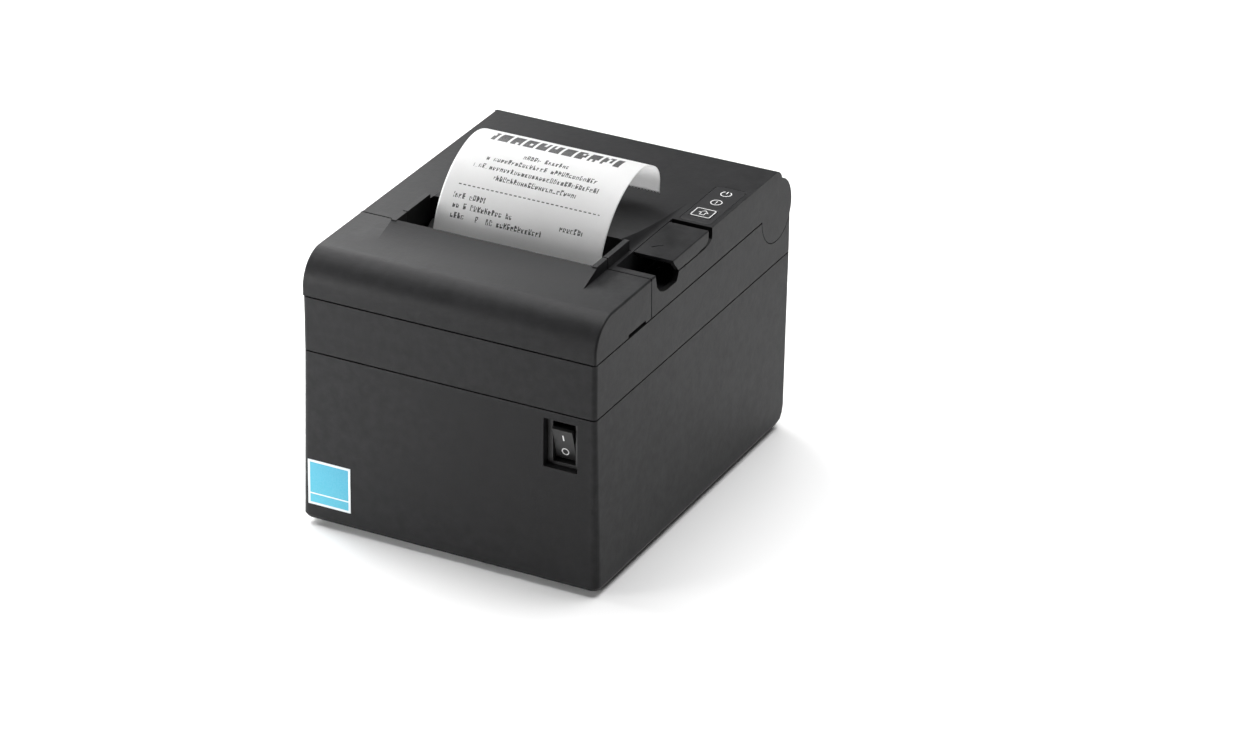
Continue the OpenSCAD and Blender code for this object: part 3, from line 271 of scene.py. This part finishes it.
def label_print():
    """A plain blue film label with a white border and one white line across."""
    mat, tree, shader = new_material("label_print")
    low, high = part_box("front_label")
    place = add(tree, "TexCoord").outputs["Object"]
    parts = add(tree, "SeparateXYZ", {"Vector": place}).outputs
    across = ranged(tree, parts["X"], low[0], high[0])
    up = ranged(tree, parts["Z"], low[2], high[2])
    border = 0.05
    line_low, line_high = 0.235, 0.265
    inside = None
    for value in (across, up):
        past_low = math_node(tree, "GREATER_THAN", value, border)
        past_high = math_node(tree, "LESS_THAN", value, 1 - border)
        for side in (past_low, past_high):
            inside = side if inside is None else math_node(tree, "MULTIPLY", inside, side)
    below = math_node(tree, "LESS_THAN", up, line_low)
    above = math_node(tree, "GREATER_THAN", up, line_high)
    off_line = math_node(tree, "MAXIMUM", below, above)
    inside = math_node(tree, "MULTIPLY", inside, off_line)
    # The film's blue is lighter towards the bottom left and darker towards the top right.
    film_gradient = math_node(tree, "MULTIPLY_ADD", up, 0.6, math_node(tree, "MULTIPLY", across, 0.4))
    film = mixed(tree, ranged(tree, film_gradient, 0.1, 0.95), (0.075, 0.46, 0.6, 1), (0.05, 0.36, 0.52, 1))
    speck = noise(tree, place, 1500, 2)
    film = mixed(tree, ranged(tree, speck, 0.35, 0.65, 0.0, 0.12), film, (0.3, 0.6, 0.75, 1))
    colour = mixed(tree, inside, (0.72, 0.76, 0.78, 1), film)
    tree.links.new(colour, shader.inputs["Base Color"])
    tree.links.new(ranged(tree, speck, 0.3, 0.7, 0.3, 0.4), shader.inputs["Roughness"])
    return mat


MATERIAL_OF["label_print"] = label_print()

# ---------------------------------------------------------------- finishing the CAD nodes


def set_material(obj, mat):
    obj.data.materials.clear()
    obj.data.materials.append(mat)


def soften(obj, width_mm, segments=2, angle=32, flat=0.15):
    """Joins the mesh and its flat facets, rounds the sharp edges and keeps the flats flat."""
    for poly in obj.data.polygons:
        poly.use_smooth = True
    weld = obj.modifiers.new("weld", "WELD")
    weld.merge_threshold = 0.002 * MM
    dissolve = obj.modifiers.new("flats", "DECIMATE")
    dissolve.decimate_type = "DISSOLVE"
    dissolve.angle_limit = math.radians(flat)
    bevel = obj.modifiers.new("edges", "BEVEL")
    bevel.width = width_mm * MM
    bevel.segments = segments
    bevel.limit_method = "ANGLE"
    bevel.angle_limit = math.radians(angle)
    bevel.miter_outer = "MITER_ARC"
    weighted = obj.modifiers.new("normals", "WEIGHTED_NORMAL")
    weighted.weight = 80


def shade(obj, angle=30):
    """Smooth faces with sharp edges kept, for small mechanical parts."""
    for poly in obj.data.polygons:
        poly.use_smooth = True
    obj.data.set_sharp_from_angle(angle=math.radians(angle))


# Edge rounding in millimetres. The lower case keeps its plain edges, because a bevel spoils the
# shading of its rear wall.
BEVELS = {
    "middle_case": 0.14,
    "control_panel": 0.12,
    "feed_button": 0.2,
    "power_rocker": 0.35,
    "switch_body": 0.25,
    "bottom_cover": 0.3,
}
slot_of = {row["node"]: row["material_slot"] for row in frame["record"]["subparts"]}
roll_mat = roll_paper()

# Edge rounding of the shells in millimetres
fine_edge = 0.08
long_edge = 0.95
lever_edge = 0.5


def rounded_shell(name, body, widths, recess=None, sharp=32):
    """A rounded copy of a casing part. widths(a, b) gives the rounding of the edge from a to b in
    millimetres, or None for a fine one. recess(c, normal) says which faces get painted shade: a
    near-black material that stands in for the shade inside the slot and the finger well."""
    widest = 2.0
    bm = bmesh.new()
    bm.from_mesh(nodes[name].data)
    bmesh.ops.remove_doubles(bm, verts=bm.verts, dist=0.002 * MM)
    bmesh.ops.dissolve_limit(bm, angle_limit=math.radians(1.5), verts=bm.verts, edges=bm.edges)
    weight = bm.edges.layers.float.new("bevel_weight_edge")
    for edge in bm.edges:
        if len(edge.link_faces) == 2 and edge.calc_face_angle(0) > math.radians(sharp):
            a, b = (v.co / MM for v in edge.verts)
            edge[weight] = (widths(a, b) or fine_edge) / widest
    for face in bm.faces:
        face.smooth = True
        # Faces picked here get the near-black painted shade material.
        if recess and recess(face.calc_center_median() / MM, face.normal):
            face.material_index = 1
    mesh = bpy.data.meshes.new(name + "_shell")
    bm.to_mesh(mesh)
    bm.free()
    mesh.materials.append(MATERIAL_OF[slot_of[name]])
    if recess:
        mesh.materials.append(painted_shade_black)
    obj = bpy.data.objects.new(name + "_shell", mesh)
    scene.collection.objects.link(obj)
    bevel = obj.modifiers.new("edges", "BEVEL")
    bevel.width = widest * MM
    bevel.segments = 3
    bevel.limit_method = "WEIGHT"
    bevel.miter_outer = "MITER_ARC"
    bevel.use_clamp_overlap = False
    weighted = obj.modifiers.new("normals", "WEIGHTED_NORMAL")
    weighted.weight = 80
    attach(obj, body)
    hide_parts(name)


# Places on the casing, in millimetres
cover_low, cover_high = (Vector(c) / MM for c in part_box("front_cover"))
side_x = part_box("front_cover")[1][0] / MM
flat_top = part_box("control_panel")[1][2] / MM
rear_corner_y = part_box("lid")[1][1] / MM - 15.6
corner_fade = 5.5
slot_half = 46.2
slot_y = (cover_high[1] - 8.9, -21.7)
tear_edge_z = 130.4
well_x = (50.4, 69.1)
well_y = (-37.6, -16)
lever_rear_y = (14, 14.5)


def on_side(a, b):
    """Both ends of the edge lie on one outer side face."""
    return abs(a.x) > side_x - 0.05 and abs(b.x) > side_x - 0.05 and a.x * b.x > 0


def cover_widths(a, b):
    """The curved edge of each side, without the seams at its foot and rear."""
    above_foot = min(a.z, b.z) > cover_low[2] - 0.1 and max(a.z, b.z) > cover_low[2] + 2
    if on_side(a, b) and above_foot and min(a.y, b.y) < cover_high[1] - 0.3:
        return long_edge
    return None


def lid_widths(a, b):
    """The long top edge of each side; its rounding fades out round the rear corner."""
    if on_side(a, b) and min(a.z, b.z) > flat_top - 7:
        if min(a.z, b.z) > flat_top - 0.05:
            return long_edge
        if min(a.y, b.y) > rear_corner_y:
            past_corner = (a.y + b.y) / 2 - rear_corner_y
            return max(fine_edge, long_edge * (1 - past_corner / corner_fade))
    return None


def lever_widths(a, b):
    """The lever's top edge on the outer side."""
    if on_side(a, b) and min(a.z, b.z) > flat_top - 0.05:
        return lever_edge
    return None


def painted_shade_faces(c, normal):
    """Upright faces of the slot's mouth, and faces of the finger well and behind the lever: these get painted
    shade, a near-black material where the shade falls.
    """
    in_mouth = abs(c.x) < slot_half + 0.05 and slot_y[0] < c.y < slot_y[1] and c.z < tear_edge_z
    in_well = c.x > well_x[0] and well_y[0] < c.y < well_y[1] and c.z < flat_top - 0.5
    behind = well_x[0] < c.x < well_x[1] and lever_rear_y[0] < c.y < lever_rear_y[1] and c.z < flat_top
    return (in_mouth and abs(normal.z) < 0.7) or (in_well and abs(normal.x) < 0.95) or behind


# The slot and finger well faces get painted shade.
rounded_shell("front_cover", "chassis", cover_widths, painted_shade_faces)
rounded_shell("lid", "lid", lid_widths, painted_shade_faces)
rounded_shell("open_lever", "lever", lever_widths)

for name, obj in nodes.items():
    set_material(obj, roll_mat if slot_of[name] == "paper" else MATERIAL_OF[slot_of[name]])
    if name in BEVELS:
        soften(obj, BEVELS[name])
    else:
        shade(obj)
set_material(nodes["feed_button"], button_black)

# ---------------------------------------------------------------- mesh kit


def new_mesh(name, verts, faces, mat, body):
    """A mesh object on a body, from points in metres."""
    mesh = bpy.data.meshes.new(name)
    mesh.from_pydata(verts, [], faces)
    mesh.update()
    mesh.materials.append(mat)
    obj = bpy.data.objects.new(name, mesh)
    scene.collection.objects.link(obj)
    for poly in mesh.polygons:
        poly.use_smooth = True
    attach(obj, body)
    return obj


class Marks:
    """Thin raised marks of ink, gathered into one mesh. at(u, v) gives a point on the surface and
    up its outward direction."""

    def __init__(self, at, up, thick=0.02):
        self.at = at
        self.up = Vector(up).normalized() * thick * MM
        self.verts = []
        self.faces = []

    def ring(self, outer, inner):
        """A closed band between two outlines with the same number of points."""
        n = len(outer)
        start = len(self.verts)
        for outline in (outer, inner):
            for lift in (0, 1):
                self.verts += [self.at(u, v) + self.up * lift for u, v in outline]
        for i in range(n):
            j = (i + 1) % n
            o_low, o_high, i_low, i_high = (start + n * k for k in range(4))
            self.faces.append((o_high + i, o_high + j, i_high + j, i_high + i))
            self.faces.append((o_low + i, o_low + j, o_high + j, o_high + i))
            self.faces.append((i_high + i, i_high + j, i_low + j, i_low + i))
            self.faces.append((i_low + i, i_low + j, o_low + j, o_low + i))

    def plate(self, outline):
        """A filled flat shape."""
        n = len(outline)
        start = len(self.verts)
        for lift in (0, 1):
            self.verts += [self.at(u, v) + self.up * lift for u, v in outline]
        self.faces.append(tuple(range(start + n, start + 2 * n)))
        self.faces.append(tuple(range(start + n - 1, start - 1, -1)))
        for i in range(n):
            j = (i + 1) % n
            self.faces.append((start + i, start + j, start + n + j, start + n + i))

    def bar(self, u, v, du, dv):
        self.plate([(u - du, v - dv), (u + du, v - dv), (u + du, v + dv), (u - du, v + dv)])

    def circle(self, u, v, r, line, a0=0, a1=360):
        """A ring, or an arc from a0 to a1 degrees, line wide."""
        whole = a1 - a0 >= 360
        n = 40
        angles = [math.radians(a0 + (a1 - a0) * i / (n if whole else n - 1)) for i in range(n)]
        out = [(u + (r + line / 2) * math.cos(a), v + (r + line / 2) * math.sin(a)) for a in angles]
        inn = [(u + (r - line / 2) * math.cos(a), v + (r - line / 2) * math.sin(a)) for a in angles]
        if whole:
            self.ring(out, inn)
        else:
            for i in range(n - 1):
                self.plate([out[i], out[i + 1], inn[i + 1], inn[i]])

    def rounded(self, low, high, r, line):
        """A rounded rectangle's outline, line wide."""

        def outline(inset):
            points = []
            left, right, near, far = low[0] + r, high[0] - r, low[1] + r, high[1] - r
            for cu, cv, a in ((right, far, 0), (left, far, 90), (left, near, 180), (right, near, 270)):
                for k in range(7):
                    t = math.radians(a + 15 * k)
                    points.append((cu + (r - inset) * math.cos(t), cv + (r - inset) * math.sin(t)))
            return points

        self.ring(outline(0), outline(line))

    def build(self, name, mat, body):
        obj = new_mesh(name, self.verts, self.faces, mat, body)
        bm = bmesh.new()
        bm.from_mesh(obj.data)
        bmesh.ops.recalc_face_normals(bm, faces=bm.faces)
        bm.to_mesh(obj.data)
        bm.free()
        for poly in obj.data.polygons:
            poly.use_smooth = False
        return obj


# ---------------------------------------------------------------- control panel print

panel_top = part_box("control_panel")[1][2]
button_low, button_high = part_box("feed_button")
light_low, light_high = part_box("light_pipes")
light_u = (light_low[0] + light_high[0]) / 2 / MM
pipe_r = 1.2
light_v = (light_low[1] / MM + pipe_r, light_high[1] / MM - pipe_r)


def flat_at(z):
    return lambda u, v: Vector((u * MM, v * MM, z))


icons = Marks(flat_at(panel_top), (0, 0, 1))
for v, kind in ((light_v[0], "warning"), (light_v[1], "power")):
    if kind == "warning":
        icons.circle(light_u, v, 2.4, 0.4)
        icons.bar(light_u, v + 0.4, 0.2, 0.8)
        icons.bar(light_u, v - 1.0, 0.2, 0.2)
    else:
        icons.circle(light_u, v, 2.3, 0.42, 122, 418)
        icons.bar(light_u, v + 1.3, 0.21, 1.2)
icons.build("panel_icons", ink_white, "lid")

button_mid = ((button_low[0] + button_high[0]) / 2 / MM, (button_low[1] + button_high[1]) / 2 / MM)
arrow = Marks(flat_at(button_high[2]), (0, 0, 1))
frame_inset = 0.35
frame_low = (button_low[0] / MM + frame_inset, button_low[1] / MM + frame_inset)
frame_high = (button_high[0] / MM - frame_inset, button_high[1] / MM - frame_inset)
arrow.rounded(frame_low, frame_high, 1.1, 0.42)
au, av = button_mid


def arrow_outline(grow):
    """A broad arrow that points up the panel, grown by grow on every side."""
    wide, shaft_w = 2.1 + 1.9 * grow, 1.0 + grow
    foot, neck, point = -1.9 - grow, 0.1 - grow, 2.2 + 1.42 * grow
    half = [(0, point), (wide, neck), (shaft_w, neck), (shaft_w, foot)]
    return [(au + u, av + w) for u, w in half] + [(au - u, av + w) for u, w in reversed(half[1:])]


arrow.ring(arrow_outline(0.18), arrow_outline(-0.18))
arrow.build("button_arrow", ink_white, "button")

lever_low, lever_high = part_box("open_lever")
tick = Marks(flat_at(lever_high[2]), (0, 0, 1))
tu = lever_low[0] / MM + 0.34 * (side_x - lever_low[0] / MM)
tv = lever_low[1] / MM + 9.2
TICK = ((-2.1, -1.6), (-1.5, -1.9), (0.2, 0.3), (2.1, 1.5), (2.0, 2.0), (-0.1, 0.75))
tick.plate([(tu + du, tv + dv) for du, dv in TICK])
tick.build("lever_tick", ink_dark, "lever")

# ---------------------------------------------------------------- power switch marks

# The rocker's face from its upper edge over its crest to its lower edge: y and z in millimetres
ROCKER = [(-89.5, 73.8), (-87.2, 66.6), (-85.5, 59.2)]
rocker_low, rocker_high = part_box("power_rocker")
rocker_u = (rocker_low[0] + rocker_high[0]) / 2 / MM


def on_rocker(top, bottom, u0):
    """Surface of one half of the rocker: v runs down from its upper edge, in millimetres."""
    start = Vector((0, top[0], top[1]))
    along = (Vector((0, bottom[0], bottom[1])) - start).normalized()
    out = Vector((0, along.z, -along.y))
    if out.y > 0:
        out = -out
    return (lambda u, v: (start + along * v + Vector((u0 + u, 0, 0)) + out * 0.01) * MM), out


at, out = on_rocker(ROCKER[0], ROCKER[1], rocker_u)
line_mark = Marks(at, out, 0.03)
line_mark.bar(0, 4.2, 0.3, 1.5)
line_mark.build("switch_line_mark", ink_white, "rocker")
at, out = on_rocker(ROCKER[1], ROCKER[2], rocker_u)
ring_mark = Marks(at, out, 0.03)
ring_mark.circle(0, 4.0, 1.5, 0.45)
ring_mark.build("switch_ring_mark", ink_white, "rocker")

# ---------------------------------------------------------------- receipt

# The receipt's side view in millimetres and degrees, as in the part: radius and turn of each curl
PAPER_W = 79.5
PAPER_Y = -32.8
CUT_Z = 116.45
CURLS = ((42.0, 78.0), (24.0, 45.0), (10.0, 59.0))
CURL_START_Z = 108.0
TAIL = 5.5
PAPER_T = 0.09


def receipt_path(step=1.0):
    """Side view of the receipt as points from its cut edge to its torn end."""
    points = []
    radius, turn = CURLS[0]
    centre = (PAPER_Y + radius, CURL_START_Z)
    angle = 180 - math.degrees(math.asin((CUT_Z - CURL_START_Z) / radius))
    end = 180 - turn
    for i, (radius, turn) in enumerate(CURLS):
        n = max(4, round(math.radians(angle - end) * radius / step))
        for k in range(n + (i == len(CURLS) - 1)):
            a = math.radians(angle + (end - angle) * k / n)
            points.append((centre[0] + radius * math.cos(a), centre[1] + radius * math.sin(a)))
        if i + 1 < len(CURLS):
            shorter = radius - CURLS[i + 1][0]
            a = math.radians(end)
            centre = (centre[0] + shorter * math.cos(a), centre[1] + shorter * math.sin(a))
            angle, end = end, end - CURLS[i + 1][1]
    a = math.radians(end)
    down = (math.sin(a), -math.cos(a))
    last = points[-1]
    for k in range(1, 7):
        points.append((last[0] + down[0] * TAIL * k / 6, last[1] + down[1] * TAIL * k / 6))
    return points


def receipt_material(length):
    """White thermal paper with rows of made-up marks where a receipt's print would be. u runs across
    in millimetres, v from the torn end down the front."""
    mat, tree, shader = new_material("receipt_paper")
    uv = add(tree, "UVMap", uv_map="paper").outputs["UV"]
    parts = add(tree, "SeparateXYZ", {"Vector": uv}).outputs
    u = math_node(tree, "MULTIPLY", parts["X"], PAPER_W)
    v = math_node(tree, "MULTIPLY", parts["Y"], length)

    def between(value, low, high):
        above = math_node(tree, "GREATER_THAN", value, low)
        below = math_node(tree, "LESS_THAN", value, high)
        return math_node(tree, "MULTIPLY", above, below)

    letter_pitch = 1.7
    band_v = 4.1
    row_height = 2.5
    dash_pitch = 2.2
    ink = None

    def join(mask):
        nonlocal ink
        ink = mask if ink is None else math_node(tree, "MAXIMUM", ink, mask)

    def letters(pitch, columns, dot_v, seed, density, blank):
        """Made-up letters: cells of random dots with a blank column after each. blank is the share of
        empty cells."""
        column = math_node(tree, "FLOOR", math_node(tree, "DIVIDE", u, pitch / columns))
        line = math_node(tree, "FLOOR", math_node(tree, "DIVIDE", v, dot_v))
        cell = math_node(tree, "FLOOR", math_node(tree, "DIVIDE", u, pitch))
        band = math_node(tree, "FLOOR", math_node(tree, "DIVIDE", v, band_v))
        dot = add(tree, "CombineXYZ", {"X": column, "Y": line, "Z": seed}).outputs[0]
        word = add(tree, "CombineXYZ", {"X": cell, "Y": band, "Z": seed + 5}).outputs[0]
        dotted = add(tree, "TexWhiteNoise", {"Vector": dot}, noise_dimensions="3D").outputs["Value"]
        gap = add(tree, "TexWhiteNoise", {"Vector": word}, noise_dimensions="3D").outputs["Value"]
        place_in = math_node(tree, "FRACT", math_node(tree, "DIVIDE", u, pitch))
        stem = math_node(tree, "LESS_THAN", place_in, 1 / columns)
        body = math_node(tree, "MAXIMUM", stem, math_node(tree, "LESS_THAN", dotted, density))
        body = math_node(tree, "MULTIPLY", body, math_node(tree, "LESS_THAN", place_in, 1 - 1 / columns))
        return math_node(tree, "MULTIPLY", body, math_node(tree, "GREATER_THAN", gap, blank))

    small = letters(letter_pitch, 4, 0.62, 3.0, 0.6, 0.12)
    bold = letters(6.1, 5, 1.9, 8.0, 0.85, 0.0)
    cell_u = math_node(tree, "FLOOR", math_node(tree, "DIVIDE", u, letter_pitch))
    cell_v = math_node(tree, "FLOOR", math_node(tree, "DIVIDE", v, band_v))
    cell_at = add(tree, "CombineXYZ", {"X": cell_u, "Y": cell_v, "Z": 31.0}).outputs[0]
    letter_height = add(tree, "TexWhiteNoise", {"Vector": cell_at}, noise_dimensions="3D").outputs["Value"]

    def row(v0, height, u0, u1, kind):
        """A row of letters, or a dashed rule where kind is None."""
        mask = between(v, v0, v0 + height)
        if kind is small:
            tall = math_node(tree, "LESS_THAN", letter_height, 0.4)
            lower = math_node(tree, "GREATER_THAN", v, v0 + 0.3 * height)
            mask = math_node(tree, "MULTIPLY", mask, math_node(tree, "MAXIMUM", tall, lower))
        if kind is None:
            dash = math_node(tree, "FRACT", math_node(tree, "DIVIDE", u, dash_pitch))
            kind = math_node(tree, "LESS_THAN", dash, 0.6)
        inked = math_node(tree, "MULTIPLY", mask, kind)
        join(math_node(tree, "MULTIPLY", inked, between(u, u0, u1)))

    row(24.8, 7.5, 9, 70, bold)
    for k, (left, right) in enumerate(((29, 51), (13.5, 66), (9.5, 68.5), (21, 60))):
        row(37.8 + 4.5 * k, row_height, left, right, small)
    row(58.3, 0.5, 6, 73.5, None)
    for k, right in enumerate((21, 35, 50)):
        row(62.2 + 4.3 * k, row_height, 6, right, small)
    row(62.2 + 4.3, row_height, 57, 68.5, small)
    place = add(tree, "TexCoord").outputs["Object"]
    fibre = noise(tree, place, 2600, 3)
    broad = noise(tree, place, 45, 2)
    cloudy = math_node(tree, "MULTIPLY_ADD", broad, 0.6, math_node(tree, "MULTIPLY", fibre, 0.4))
    sheet = mixed(tree, ranged(tree, cloudy, 0.3, 0.7), (0.80, 0.80, 0.795, 1), (0.87, 0.87, 0.865, 1))
    faded = math_node(tree, "MULTIPLY", ink, ranged(tree, fibre, 0.3, 0.6, 0.9, 1.0))
    printed = mixed(tree, faded, sheet, (0.006, 0.006, 0.007, 1))
    tree.links.new(printed, shader.inputs["Base Color"])
    tree.links.new(ranged(tree, fibre, 0.3, 0.7, 0.42, 0.55), shader.inputs["Roughness"])
    bump = add(tree, "Bump", {"Strength": 0.12, "Distance": 0.03 * MM, "Height": fibre})
    tree.links.new(bump.outputs["Normal"], shader.inputs["Normal"])
    shader.inputs["Subsurface Weight"].default_value = 0.9
    shader.inputs["Subsurface Radius"].default_value = (1, 1, 1)
    shader.inputs["Subsurface Scale"].default_value = 1.0 * MM
    return mat


def build_receipt():
    """A closed thin strip: printed outside, plain inside, its free end torn on the blade's teeth."""
    path = receipt_path()
    lengths = [0.0]
    for a, b in zip(path, path[1:]):
        lengths.append(lengths[-1] + math.dist(a, b))
    total = lengths[-1]
    columns = 106
    bm = bmesh.new()
    uv_layer = bm.loops.layers.uv.new("paper")
    rows = []
    for i, (y, z) in enumerate(path):
        before, after = path[max(0, i - 1)], path[min(len(path) - 1, i + 1)]
        along = Vector((0, after[0] - before[0], after[1] - before[1])).normalized()
        out = Vector((0, -along.z, along.y))
        layer = []
        for c in range(columns + 1):
            x = (c / columns - 0.5) * PAPER_W
            t = lengths[i] / total
            bow = 0.16 * math.sin(math.pi * c / columns) * t * (1 - t) * 4
            ripple = 0.07 * math.sin(x * 0.11 + 1.3) * math.sin(t * 7)
            spot = Vector((x, y, z)) + out * (bow + ripple) * min(1.0, 4 * t)
            if i == len(path) - 1:
                spot -= along * (0.55 if c % 2 else 0.0)
            layer.append([bm.verts.new((spot + out * side * PAPER_T / 2) * MM) for side in (1, -1)])
        rows.append(layer)

    def face(corners, uvs):
        f = bm.faces.new(corners)
        f.smooth = True
        for loop, (u, v) in zip(f.loops, uvs):
            loop[uv_layer].uv = (u, v)

    last = len(rows) - 1
    for i in range(last):
        v0, v1 = 1 - lengths[i] / total, 1 - lengths[i + 1] / total
        for c in range(columns):
            u0, u1 = c / columns, (c + 1) / columns
            a, b, d, e = rows[i][c], rows[i][c + 1], rows[i + 1][c + 1], rows[i + 1][c]
            face((a[0], b[0], d[0], e[0]), ((u0, v0), (u1, v0), (u1, v1), (u0, v1)))
            face((e[1], d[1], b[1], a[1]), ((0, 0),) * 4)
        for c in (0, columns):
            a, b = rows[i][c], rows[i + 1][c]
            face((a[0], b[0], b[1], a[1]) if c == 0 else (a[1], b[1], b[0], a[0]), ((0, 0),) * 4)
    for i in (0, last):
        for c in range(columns):
            a, b = rows[i][c], rows[i][c + 1]
            face((a[1], b[1], b[0], a[0]) if i == 0 else (a[0], b[0], b[1], a[1]), ((0, 0),) * 4)
    bmesh.ops.recalc_face_normals(bm, faces=bm.faces)
    mesh = bpy.data.meshes.new("receipt_sheet")
    bm.to_mesh(mesh)
    bm.free()
    mesh.materials.append(receipt_material(total))
    obj = bpy.data.objects.new("receipt_sheet", mesh)
    scene.collection.objects.link(obj)
    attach(obj, "lid")
    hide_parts("receipt")
    return obj


build_receipt()

# ---------------------------------------------------------------- floor and light

floor_mesh = bpy.data.meshes.new("floor")
reach = 6.0
corners = [(-reach, -reach, 0), (reach, -reach, 0), (reach, reach, 0), (-reach, reach, 0)]
floor_mesh.from_pydata(corners, [], [(0, 1, 2, 3)])
floor = bpy.data.objects.new("floor", floor_mesh)
scene.collection.objects.link(floor)
floor_mat, _, floor_shader = new_material("floor_white")
floor_shader.inputs["Base Color"].default_value = (0.93, 0.93, 0.93, 1)
floor_shader.inputs["Roughness"].default_value = 0.3
floor_mesh.materials.append(floor_mat)

world = bpy.data.worlds.new("studio")
scene.world = world
world.use_nodes = True
world.node_tree.nodes["Background"].inputs["Color"].default_value = (1, 1, 1, 1)
world.node_tree.nodes["Background"].inputs["Strength"].default_value = 0.06


def softbox(name, place, target, size, watts):
    data = bpy.data.lights.new(name, "AREA")
    data.shape = "RECTANGLE"
    data.size, data.size_y = size
    data.energy = watts
    obj = bpy.data.objects.new(name, data)
    obj.location = place
    obj.rotation_euler = (Vector(target) - Vector(place)).to_track_quat("-Z", "Y").to_euler()
    scene.collection.objects.link(obj)


softbox("top", (0.1, 0.5, 2.2), (0, 0.1, 0.0), (2.4, 2.0), 82)
softbox("front_low", (-0.45, -0.5, 0.16), (-0.05, -0.05, 0.08), (0.3, 0.24), 3.2)
softbox("rear_left", (-0.45, 0.4, 0.45), (-0.04, 0, 0.1), (0.3, 0.3), 1.8)
softbox("left", (-0.5, 0, 0.35), (-0.04, 0, 0.1), (0.3, 0.3), 2.8)
softbox("right", (1.9, -0.5, 0.9), (0, 0, 0.06), (1.2, 1.2), 1.0)
